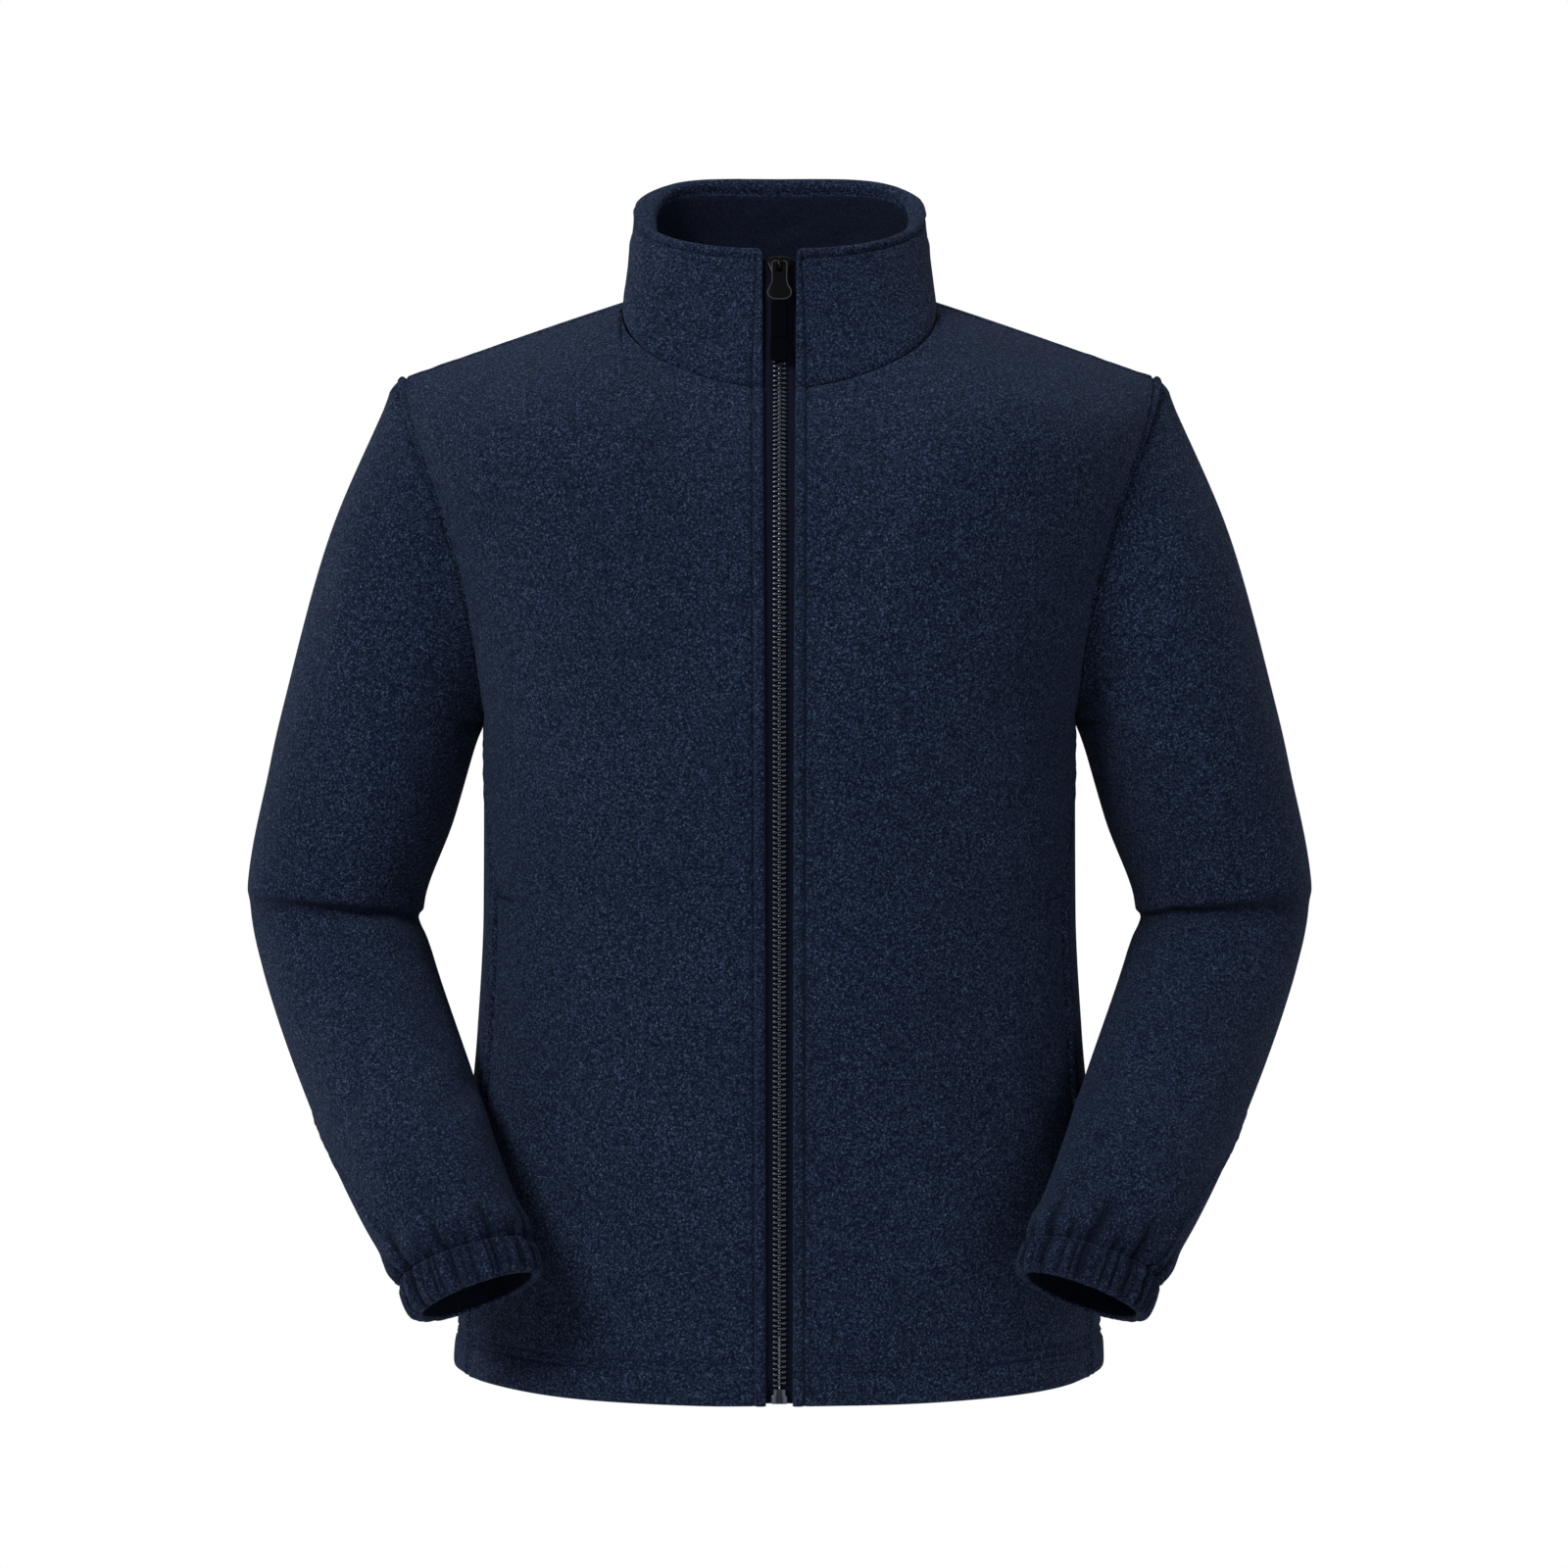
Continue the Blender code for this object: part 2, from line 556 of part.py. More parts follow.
def build_sleeves(cloth, joint):
    phi = joint["phi"]
    fold = ELBOW_FOLD["along"] / SLEEVE_LENGTH + ELBOW_PLACE
    v = np.concatenate([
        [0.0, 0.012, 0.045, 0.10, 0.17, 0.25, 0.34, 0.44], fold[fold > 0.47],
        np.linspace(fold[-1], 1, 9)[1:]])
    grid_v, grid_phi = np.meshgrid(v, phi, indexing="ij")
    outer = sleeve(grid_phi, grid_v)
    around = sleeve(grid_phi + TINY, grid_v) - sleeve(grid_phi - TINY, grid_v)
    step = 0.004
    along = sleeve(grid_phi, np.minimum(grid_v + step, 1)) - sleeve(grid_phi, np.maximum(grid_v - step, 0))
    out = unit(np.cross(around, along))
    middle = outer.mean(axis=1, keepdims=True)
    out *= np.sign(((outer - middle) * out).sum(axis=-1).mean())
    inner = outer - out * FLEECE
    outer[0] += joint["across"] * SEAM_GAP / 2
    inner[0] = outer[0] + joint["inward"]
    # the last ring is cut square, so the cuff meets it flat
    centre = outer[-1].mean(axis=0)
    inner[-1] = outer[-1] + unit(centre - outer[-1]) * FLEECE
    add_pair("sleeve", outer, inner, cloth, wrap=True)


def build_cuffs(cloth):
    phi = np.linspace(0, 2 * np.pi, GATHERS * 4, endpoint=False)
    profile = named_table("v inset gather inner", [
        (0.00, 0.0012, 0.45, 0.0), (0.22, 0.0000, 1.0, 0.0), (0.60, 0.0000, 1.0, 0.0),
        (0.88, 0.0004, 0.8, 0.0), (1.00, 0.0016, 0.4, 0.0012),
    ])
    grid_v, grid_phi = np.meshgrid(profile["v"], phi, indexing="ij")
    surface = cuff(grid_phi, grid_v)
    first = surface[0]
    centre = first.mean(axis=0)
    square = unit(first - centre)[None]
    wave = GATHER_DEPTH * profile["gather"][:, None] * (1 - np.cos(GATHERS * grid_phi)) / 2
    outer = surface - square * (profile["inset"][:, None] + wave)[..., None]
    inner = surface - square * (CUFF_CLOTH - profile["inner"][:, None, None])
    add_pair("cuff", outer, inner, cloth, wrap=True)


def zip_line():
    """The front edge from the hem to the top of the collar: gap, point and outward direction in the middle plane."""
    body_v = panel_rows()
    body = half_panel(np.zeros_like(body_v), body_v, -1)
    body_out = normals(lambda a, b: half_panel(a, b, -1), np.stack([body_v * 0, body_v * 0 + TINY]),
                       np.stack([body_v, body_v]))[0]
    h = np.array([0.10, 0.25, 0.42, 0.60, 0.72, 0.82, 0.90, 0.975])
    neck = collar(np.ones_like(h), h)
    lean = unit((neck[-1] - neck[0])[None])[0]
    neck_out = np.tile([0.0, -lean[2], lean[1]], (len(h), 1))
    points = np.concatenate([body, neck])
    out = np.concatenate([body_out, neck_out])
    out[:, 0] = 0
    out = unit(out)
    out *= np.where(out[:, 1:2] > 0, -1, 1)
    points[0] += unit(points[1] - points[0]) * 0.0015
    return points, out, len(body)


def across_zip(points, out, x, depth):
    moved = points - out * depth
    moved[:, 0] = x
    return moved


def build_zip(tape_cloth, plastic, metal, rubber):
    points, out, body_rows = zip_line()
    gap = points[:, 0]
    z = points[:, 2]
    row = np.arange(len(points))

    # tapes: behind the fronts, between the collar's ends, parted round the slider
    wide = np.where(row < body_rows - 1, gap + TAPE_UNDER, gap - SEAM_GAP)
    parted = np.where(z > SLIDER_Z - SLIDER_HALF_LENGTH - 0.012, 0.0022, SEAM_GAP)
    depth = TAPE_DEPTH
    outer = np.stack([across_zip(points, out, parted, depth), across_zip(points, out, gap * 0.8, depth),
                      across_zip(points, out, wide, depth)], axis=1)
    inner = outer - out[:, None] * TAPE_CLOTH
    add_pair("zip_tape", outer, inner, tape_cloth)

    # chain of teeth as one bar, from the bottom stop to the slider
    def bar(name, low, high, half, front, back, stuff):
        keep = (z > low + 0.004) & (z < high - 0.004)
        places = np.concatenate([[low], z[keep], [high]])
        line = np.stack([np.interp(places, z, points[:, k]) for k in range(3)], axis=-1)
        lean = unit(np.stack([np.interp(places, z, out[:, k]) for k in range(3)], axis=-1))
        chamfer = 0.25 * half
        corners = [(-half, back), (-half, front + chamfer), (-half + chamfer, front),
                   (half - chamfer, front), (half, front + chamfer), (half, back)]
        rings = np.stack([across_zip(line, lean, x, d) for x, d in corners], axis=1)
        n, m = rings.shape[:2]
        faces = list(quads(n, m, True, 0)) + [tuple(range(m)), tuple(range((n - 1) * m, n * m))]
        return finish(name, rings.reshape(-1, 3), faces, stuff)

    bottom = float(z[0])
    slider_low = SLIDER_Z - SLIDER_HALF_LENGTH
    bar("zip_chain", bottom + ZIP_BOX_HEIGHT + SEAM_GAP, slider_low - SEAM_GAP, CHAIN_HALF, CHAIN_FRONT, CHAIN_BACK,
        plastic)
    bar("zip_box", bottom, bottom + ZIP_BOX_HEIGHT, 0.0052, -0.0006, CHAIN_BACK, plastic)

    # slider, its bridge and the pull that swings on it, in the plane of the collar's front
    y_at = float(np.interp(SLIDER_Z, z, points[:, 1]))
    forward = np.array([np.interp(SLIDER_Z, z, out[:, k]) for k in range(3)])
    forward = forward / np.linalg.norm(forward)
    upward = np.array([0.0, forward[2], -forward[1]])
    origin = np.array([0.0, y_at, SLIDER_Z])

    def place(x, up, front):
        return origin + np.array([x, 0, 0]) + up * upward + front * forward

    def prism(name, outline, flat, start, end, stuff, bevel=0.0):
        """An outline in two of (x, up, front), drawn out along the third."""
        third = next(k for k in range(3) if k not in flat)
        ends = []
        for value in (start, end):
            for pair in outline:
                xyz = [0.0, 0.0, 0.0]
                xyz[flat[0]], xyz[flat[1]], xyz[third] = pair[0], pair[1], value
                ends.append(place(*xyz))
        n = len(outline)
        faces = [tuple(range(n)), tuple(range(n, 2 * n))]
        faces += [(i, (i + 1) % n, n + (i + 1) % n, n + i) for i in range(n)]
        thing = finish(name, np.array(ends), faces, stuff)
        if bevel:
            rounding = thing.modifiers.new("edges", "BEVEL")
            rounding.width, rounding.segments, rounding.limit_method = bevel, 1, "ANGLE"
            rounding.angle_limit = math.radians(50)
        return thing

    wing, post = 0.0078, 0.0016
    plate_front, plate_back = 0.0012, -0.0024
    rear_front, rear_back = -0.0043, -0.0057
    half = SLIDER_HALF_LENGTH
    section = [(-wing, plate_front), (-wing, plate_back), (-post, plate_back), (-post, rear_front),
               (-wing, rear_front), (-wing, rear_back), (wing, rear_back), (wing, rear_front),
               (post, rear_front), (post, plate_back), (wing, plate_back), (wing, plate_front)]
    prism("slider", section, (0, 2), -half, half, metal, bevel=0.0004)

    axis_front = 0.0036
    foot = plate_front + SEAM_GAP
    bridge = [(-0.0042, foot), (-0.0042, 0.0050), (-0.0030, 0.0064), (0.0030, 0.0064), (0.0042, 0.0050),
              (0.0042, foot), (0.0028, foot), (0.0028, 0.0052), (-0.0028, 0.0052), (-0.0028, foot)]
    prism("slider_bridge", bridge, (1, 2), -0.0012, 0.0012, metal)

    # the pull hangs down from the middle of the bridge; below is measured from its hinge
    pull = named_table("below half", [
        (-0.0011, 0.0032), (-0.0004, 0.0044), (0.0015, 0.0046), (0.0060, 0.0045), (0.0110, 0.0044),
        (0.0145, 0.0050), (0.0175, 0.0066), (0.0200, 0.0074), (0.0225, 0.0067), (0.0240, 0.0050),
        (0.0249, 0.0024)])
    right_side = list(zip(pull["half"], -pull["below"]))
    outline = right_side + [(-x, up) for x, up in reversed(right_side)]
    tab = prism("zip_pull", outline, (0, 1), axis_front - 0.0008, axis_front + 0.0008, metal)

    window = [(0.0018, -0.0009), (0.0018, -0.0062), (-0.0018, -0.0062), (-0.0018, -0.0009)]
    cutter = prism("bridge_window", window, (0, 1), 0.0, 0.008, plastic)
    cutter.hide_render, cutter.display_type = True, "WIRE"
    boolean = tab.modifiers.new("bridge_window", "BOOLEAN")
    boolean.operation, boolean.object = "DIFFERENCE", cutter

    strap = named_table("below half_thick", [
        (0.0252, 0.0013), (0.0258, 0.0019), (0.0275, 0.0021), (0.0320, 0.0013), (0.0508, 0.0013)])
    left_side = [(-b, axis_front + t) for b, t in zip(strap["below"], strap["half_thick"])]
    outline = left_side + [(up, 2 * axis_front - front) for up, front in reversed(left_side)]
    prism("pull_strap", outline, (1, 2), -0.0050, 0.0050, rubber)

    grip = named_table("below half", [
        (0.0511, 0.0044), (0.0520, 0.0053), (0.0590, 0.0056), (0.0640, 0.0054), (0.0662, 0.0042), (0.0670, 0.0022)])
    right_side = list(zip(grip["half"], -grip["below"]))
    outline = right_side + [(-x, up) for x, up in reversed(right_side)]
    prism("pull_grip", outline, (0, 1), axis_front - 0.0017, axis_front + 0.0017, rubber, bevel=0.0005)


def build_pockets(cloth, front):
    """A flat bag behind each side pocket, made from the front's own inner face."""
    outer, inner = front
    v = panel_rows()
    z = UNDERARM_Z + (1 - 2 * v) * (HEM_Z - UNDERARM_Z)
    rows = np.flatnonzero((z > -0.615) & (z < -0.355) & (v < 0.5))
    columns = np.arange(NECK_STEPS + 1, NECK_STEPS + SIDE_STEPS + 1)
    face = inner[np.ix_(rows, columns)]
    into = unit(face - outer[np.ix_(rows, columns)])
    bag_outer = face + into * 0.0005
    for grid in (bag_outer,):
        grid[:, -1] += unit(grid[:, -2] - grid[:, -1]) * 0.004
    add_pair("pocket_bag", bag_outer, bag_outer + into * 0.0012, cloth)


def build():
    for thing in list(bpy.data.objects):
        bpy.data.objects.remove(thing)
    fleece = material("navy_fleece", (0.012, 0.020, 0.045), 0.95)
    tape_cloth = material("navy_zip_tape", (0.010, 0.013, 0.026), 0.8)
    plastic = material("navy_zip_teeth", (0.012, 0.016, 0.030), 0.4)
    metal = material("black_zip_metal", (0.012, 0.012, 0.014), 0.3, metallic=0.6)
    rubber = material("black_rubber", (0.010, 0.010, 0.012), 0.55)
    joint = armhole_joint()
    front = build_panels(fleece, joint)
    build_collar(fleece)
    build_sleeves(fleece, joint)
    build_cuffs(fleece)
    build_pockets(fleece, front)
    build_zip(tape_cloth, plastic, metal, rubber)


build()
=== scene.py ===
import math

import bmesh
import bpy
import numpy as np
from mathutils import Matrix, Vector


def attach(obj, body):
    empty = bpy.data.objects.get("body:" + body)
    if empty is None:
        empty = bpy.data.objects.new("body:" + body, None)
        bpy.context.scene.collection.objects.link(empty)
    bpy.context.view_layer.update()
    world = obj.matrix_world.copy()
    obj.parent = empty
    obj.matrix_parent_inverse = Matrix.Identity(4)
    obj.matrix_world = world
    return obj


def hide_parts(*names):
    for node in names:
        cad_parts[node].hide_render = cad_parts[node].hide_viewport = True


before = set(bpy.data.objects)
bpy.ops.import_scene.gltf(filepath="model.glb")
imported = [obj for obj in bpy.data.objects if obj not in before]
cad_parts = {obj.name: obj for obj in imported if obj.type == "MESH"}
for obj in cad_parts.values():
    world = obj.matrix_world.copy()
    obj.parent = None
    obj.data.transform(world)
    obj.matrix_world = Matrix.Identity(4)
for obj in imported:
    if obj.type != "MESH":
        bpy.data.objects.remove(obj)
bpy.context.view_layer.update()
mm = 0.001


# numbers and tables

def table(names, rows):
    return {name: np.array(column, float) for name, column in zip(names.split(), zip(*rows))}


def smooth(at, xs, ys):  # a monotone curve through (xs, ys), held past both ends
    at = np.clip(np.asarray(at, float), xs[0], xs[-1])
    ys = np.asarray(ys, float)
    steps = np.diff(xs)
    slopes = np.diff(ys, axis=0) / steps.reshape((-1,) + (1,) * (ys.ndim - 1))
    before, after = slopes[:-1], slopes[1:]
    product = before * after
    turning = product <= 0
    inner = np.where(turning, 0.0, 2 * product / np.where(turning, 1.0, before + after))
    tangents = np.concatenate([slopes[:1], inner, slopes[-1:]])
    k = np.clip(np.searchsorted(xs, at, side="right") - 1, 0, len(xs) - 2)
    extra = (...,) + (None,) * (ys.ndim - 1)
    width = steps[k][extra]
    s = ((at - xs[k]) / steps[k])[extra]
    return ((2 * s**3 - 3 * s**2 + 1) * ys[k] + (s**3 - 2 * s**2 + s) * width * tangents[k]
            + (3 * s**2 - 2 * s**3) * ys[k + 1] + (s**3 - s**2) * width * tangents[k + 1])


def lookUp(rows, column, at):
    return smooth(at, rows[next(iter(rows))], rows[column])


def unit(vectors):
    return vectors / np.maximum(np.linalg.norm(vectors, axis=-1, keepdims=True), 1e-30)


def runAlong(points, axis):  # distance walked along each line of a grid
    steps = np.linalg.norm(np.diff(points, axis=axis), axis=-1)
    start = np.zeros_like(np.take(steps, [0], axis=axis))
    return np.concatenate([start, np.cumsum(steps, axis=axis)], axis=axis)


def easeBetween(x, low, high):
    s = np.clip((x - low) / (high - low), 0, 1)
    return s * s * (3 - 2 * s)


# the form of the body, the same as the solids'

body = dict(
    hemZ=-0.682, hemLift=0.005, underarmZ=-0.265, shoulderX=0.2445, shoulderZ=-0.0525,
    neckHalf=0.100, shoulderRise=-0.004, slope=0.35, crestRound=0.040, lean=0.30,
    frontNeckZ=-0.0527, backNeckZ=-0.008, frontNeckPower=1.7, backNeckPower=2.4,
    roundness=2.3, neckShare=0.4)

trunk = table("z halfWidth front back", [
    (-0.690, 0.2050, 0.140, 0.130), (-0.560, 0.2000, 0.139, 0.122), (-0.470, 0.1920, 0.138, 0.116),
    (-0.390, 0.1880, 0.139, 0.115), (-0.320, 0.1877, 0.144, 0.119), (-0.265, 0.1877, 0.147, 0.124)])

chest = table("z halfWidth front back", [
    (-0.265, 0.1877, 0.147, 0.124), (-0.251, 0.1910, 0.1475, 0.125), (-0.234, 0.1952, 0.148, 0.126),
    (-0.212, 0.2011, 0.148, 0.128), (-0.162, 0.2165, 0.147, 0.130), (-0.113, 0.2315, 0.1445, 0.131),
    (-0.066, 0.2435, 0.138, 0.129), (-0.020, 0.2540, 0.128, 0.124), (0.040, 0.2640, 0.118, 0.112)])

armholeLine = table("z x", [
    (-0.265, 0.1877), (-0.236, 0.1895), (-0.2006, 0.1938), (-0.1524, 0.2064),
    (-0.1052, 0.2234), (-0.078, 0.2340), (-0.0525, 0.2445)])

yoke = table("x front back", [
    (0.00, 0.280, 0.105), (0.05, 0.240, 0.105), (0.10, 0.140, 0.100),
    (0.16, 0.100, 0.095), (0.25, 0.085, 0.085)])

sideSeam = table("z turn", [
    (-0.690, 0.780), (-0.460, 0.785), (-0.374, 0.790), (-0.320, 0.870), (-0.265, 1.0)])

zipGap = table("z half", [(-0.690, 0.0080), (-0.300, 0.0085), (-0.068, 0.0095), (0.030, 0.0105)])


def acrossWidth(turn):
    return np.sin(np.pi / 2 * turn) ** (2 / body["roundness"])


def turnOf(share):
    return 2 / np.pi * np.arcsin(np.clip(share, 0, 1) ** (body["roundness"] / 2))


neckTurn = turnOf(body["neckHalf"] / body["shoulderX"])


def crest(x):
    bend = body["crestRound"]
    return body["shoulderRise"] - body["slope"] * (np.hypot(x, bend) - math.hypot(body["neckHalf"], bend))


def neckline(x, face):
    depth = body["frontNeckZ"] if face < 0 else body["backNeckZ"]
    power = body["frontNeckPower"] if face < 0 else body["backNeckPower"]
    share = np.clip(np.abs(x) / body["neckHalf"], 0, 1)
    return depth + (body["shoulderRise"] - depth) * (1 - (1 - share**power) ** (1 / power))


def upperBody(x, z, face):  # above the underarm; face is -1 in front and 1 behind
    side = "front" if face < 0 else "back"
    p = body["roundness"]
    reach = np.clip(x / lookUp(chest, "halfWidth", z), 0, 1)
    depth = lookUp(chest, side, z) * (1 - reach**p) ** (1 / p)
    fall = np.clip((crest(x) - z) / lookUp(yoke, side, x), 0, 1)
    y = face * depth * np.sqrt(1 - (1 - fall) ** 2)
    return np.stack([x, y, z + body["lean"] * y * (1 - fall) ** 2], axis=-1)


def lowerBody(z, turn):  # below the underarm; turn is 0 in front, 1 at the side, 2 behind
    halfWidth = lookUp(trunk, "halfWidth", z)
    behind = turn > 1
    quarter = np.where(behind, 2 - turn, turn)
    x = halfWidth * acrossWidth(quarter)
    depth = np.where(behind, lookUp(trunk, "back", z), -lookUp(trunk, "front", z))
    y = depth * np.clip(np.cos(np.pi / 2 * quarter), 0, 1) ** (2 / body["roundness"])
    down = np.clip((body["underarmZ"] - z) / (body["underarmZ"] - body["hemZ"]), 0, 1)
    return np.stack([x, y, z + body["hemLift"] * down * (x / halfWidth) ** 4], axis=-1)


def halfPanel(u, v, face):  # u: centre to side; v: hem 0, underarm 0.5, neckline and shoulder 1
    u, v = np.broadcast_arrays(np.asarray(u, float), np.asarray(v, float))
    share = body["neckShare"]
    neck, side = np.clip(u / share, 0, 1), np.clip((u - share) / (1 - share), 0, 1)
    low, high = body["underarmZ"], body["frontNeckZ"]

    zLow = low + np.clip(1 - 2 * v, 0, 1) * (body["hemZ"] - low)
    seam = lookUp(sideSeam, "turn", zLow)
    start = turnOf(lookUp(zipGap, "half", zLow) / lookUp(trunk, "halfWidth", zLow)) if face < 0 else 0.0
    end = seam if face < 0 else 2 - seam
    turn = np.where(u < share, start + neck * (neckTurn - start), neckTurn + side * (end - neckTurn))
    below = lowerBody(zLow, turn if face < 0 else 2 - turn)

    rise = np.clip(2 * v - 1, 0, 1)
    shares = acrossWidth(neckTurn + side * (1 - neckTurn))

    def across(width, centre):
        return np.where(u < share, centre + neck * (shares * width - centre), shares * width)

    centre = lookUp(zipGap, "half", low + rise * (high - low)) if face < 0 else 0.0
    centreTop = float(lookUp(zipGap, "half", high)) if face < 0 else 0.0
    xTop = across(body["shoulderX"], centreTop)
    zTop = np.where(xTop < body["neckHalf"] - 1e-9, neckline(xTop, face), crest(xTop))
    armX = lookUp(armholeLine, "x", low + rise * (body["shoulderZ"] - low))
    above = upperBody(across(armX, centre), low + rise * (zTop - low), face)
    return np.where((v < 0.5)[..., None], below, above)


collarForm = dict(
    thick=0.0060, rimHalf=0.0925, rimMiddleY=0.015, rimSideZ=0.062, rimFront=0.077, rimBack=0.073,
    fallFront=0.506, fallBack=0.384, backRoundness=2.8, cornerRound=0.0040, halfRound=0.175, height=0.072)


def collarAt(c, h):  # c: -1 and 1 at the zip, 0 behind; h: 0 at the seam, 1 at the rim
    c, h = np.broadcast_arrays(np.asarray(c, float), np.asarray(h, float))
    f = collarForm
    side = np.where(c < 0, -1.0, 1.0)
    around = np.abs(c)
    front = halfPanel(body["neckShare"] * np.clip(2 - 2 * around, 0, 1), 1.0, -1)
    back = halfPanel(body["neckShare"] * np.clip(2 * around, 0, 1), 1.0, 1)
    base = np.where((around > 0.5)[..., None], front, back)
    lowGap, highGap = lookUp(zipGap, "half", -0.068), lookUp(zipGap, "half", 0.030)
    stretch = (f["rimHalf"] - highGap) / (body["neckHalf"] - lowGap)
    inFront = (highGap + (base[..., 0] - lowGap) * stretch) / f["rimHalf"]
    share = np.clip(np.where(around > 0.5, inFront, base[..., 0] / body["neckHalf"]), 0, 1)
    power = np.where(around > 0.5, body["roundness"], f["backRoundness"])
    roundOff = (1 - share**power) ** (1 / power)
    reach = np.where(around > 0.5, -f["rimFront"], f["rimBack"]) * roundOff
    fall = np.where(around > 0.5, f["fallFront"], f["fallBack"])
    rim = np.stack([share * f["rimHalf"], f["rimMiddleY"] + reach, f["rimSideZ"] + fall * reach], axis=-1)
    toZip = (1 - around) * f["halfRound"]
    left = np.clip(1 - toZip / f["cornerRound"], 0, 1)
    drop = f["cornerRound"] * (1 - np.sqrt(1 - left**2)) / f["height"]
    point = base + (rim - base) * (h * (1 - drop))[..., None]
    point[..., 0] *= side
    return point


sleeveRings = table("x y z halfWidth halfDepth roll pitch", [
    (0.2383, 0.002, -0.2125, 0.0769, 0.0690, 50.7, 0.0),
    (0.2545, 0.004, -0.2690, 0.0622, 0.0700, 16.7, 0.0),
    (0.2670, 0.008, -0.3150, 0.0610, 0.0660, 16.7, 0.0),
    (0.2847, 0.012, -0.3880, 0.0558, 0.0580, 4.4, 3.0),
    (0.2770, 0.002, -0.4180, 0.0537, 0.0550, -9.0, 14.0),
    (0.2377, -0.068, -0.5040, 0.0504, 0.0480, -21.5, 29.0),
    (0.2088, -0.121, -0.5568, 0.0459, 0.0445, -23.0, 30.0),
    (0.1864, -0.147, -0.5950, 0.0420, 0.0390, -19.5, 24.0)])
elbowRing = 4  # counted with the armhole as ring 0

# the crease across the elbow: distance past it, push outward, slip down the arm
elbowFold = table("along out slip", [
    (-0.0555, 0.0000, 0.0000), (-0.0355, 0.0002, 0.0000), (-0.0215, 0.0006, 0.0006),
    (-0.0135, 0.0012, 0.0014), (-0.0090, 0.0016, 0.0022), (-0.0055, 0.0012, 0.0028),
    (-0.0035, -0.0006, 0.0028), (-0.0015, -0.0034, 0.0022), (0.0010, -0.0060, 0.0010),
    (0.0045, -0.0076, 0.0003), (0.0105, -0.0062, 0.0001), (0.0245, -0.0022, 0.0000),
    (0.0425, 0.0000, 0.0000)])

cuffTop = dict(x=0.1864, y=-0.147, z=-0.5950, halfWidth=0.0414, halfDepth=0.0384, roll=-19.5, pitch=24.0)
cuffRim = dict(x=0.1782, y=-0.158, z=-0.6135, halfWidth=0.0402, halfDepth=0.0360, roll=-21.5, pitch=20.5)


def oval(section, phi):  # phi: 0 outside, a quarter turn in front, a half turn inside
    roll, pitch = math.radians(section["roll"]), math.radians(section["pitch"])
    outward = np.array([math.cos(roll), 0.0, math.sin(roll)])
    forward = np.array([0.0, -math.cos(pitch), math.sin(pitch)])
    forward = unit(forward - forward.dot(outward) * outward)
    centre = np.array([section["x"], section["y"], section["z"]])
    return (centre + section["halfWidth"] * np.cos(phi)[..., None] * outward
            + section["halfDepth"] * np.sin(phi)[..., None] * forward)


def armhole(phi):
    rise = (1 + np.cos(phi)) / 2
    behind = np.sin(phi) < -1e-9
    return np.where(behind[..., None], halfPanel(1.0, 0.5 + rise / 2, 1), halfPanel(1.0, 0.5 + rise / 2, -1))


def ringsAt(phi):
    rows = [dict(zip(sleeveRings, values)) for values in zip(*sleeveRings.values())]
    return np.stack([armhole(phi)] + [oval(row, phi) for row in rows])


def sleevePlaces():  # how far along the sleeve each ring lies, 0 to 1, and the sleeve's length
    rings = ringsAt(np.linspace(0, 2 * np.pi, 25))
    steps = np.linalg.norm(np.diff(rings, axis=0), axis=-1).mean(axis=1)
    places = np.concatenate([[0.0], np.cumsum(steps)])
    return places / places[-1], places[-1]


ringPlaces, sleeveLength = sleevePlaces()
elbowPlace = ringPlaces[elbowRing]


def foldWeight(phi):
    return np.clip(0.28 + 0.55 * np.sin(phi) - 0.15 * np.cos(phi), 0, 1)


def sleeveGrid(phi, v):  # rows of v down the arm, columns of phi round it
    rings = ringsAt(phi)
    points = smooth(v, ringPlaces, rings)
    below, above = (smooth(np.clip(v + step, 0, 1), ringPlaces, rings) for step in (0.02, -0.02))
    down = unit(below - above)
    middle = smooth(v, ringPlaces[1:], np.stack([sleeveRings[k] for k in "xyz"], axis=-1))
    outward = unit(points - middle[:, None])
    weight = foldWeight(phi)
    past = (v - elbowPlace) * sleeveLength
    push, slip = lookUp(elbowFold, "out", past), lookUp(elbowFold, "slip", past)
    return points + outward * (weight * push[:, None])[..., None] + down * (weight * slip[:, None])[..., None]


def cuffGrid(phi, v):
    first, last = oval(cuffTop, phi), oval(cuffRim, phi)
    middle = np.array([cuffTop[k] for k in "xyz"])
    belly = 0.0012 * np.sin(np.pi * v)
    return first + (last - first) * v[:, None, None] + unit(first - middle) * belly[:, None, None]


# laying even grids on a form, with close lines beside edges that are sewn

def layLines(run, guide, marks, counts, near, far):
    edges = np.interp(marks, guide, run)
    parts = []
    for k, count in enumerate(counts):
        first = near if k == 0 else [0.0]
        last = far if k == len(counts) - 1 else [0.0]
        parts.append(edges[k] + np.array(first[:-1]))
        middle = np.linspace(edges[k] + first[-1], edges[k + 1] - last[-1], count + 1)
        parts.append(middle if k == len(counts) - 1 else middle[:-1])
        if k == len(counts) - 1:
            parts.append(edges[k + 1] - np.array(last[:-1])[::-1])
    return np.interp(np.concatenate(parts), run, guide)


def countSteps(run, guide, marks, near, far, step):
    edges = [np.interp(marks, guide, line) for line in run]
    lengths = np.diff(np.mean(edges, axis=0))
    lengths[0] -= near[-1]
    lengths[-1] -= far[-1]
    return [max(1, int(round(length / step))) for length in lengths]


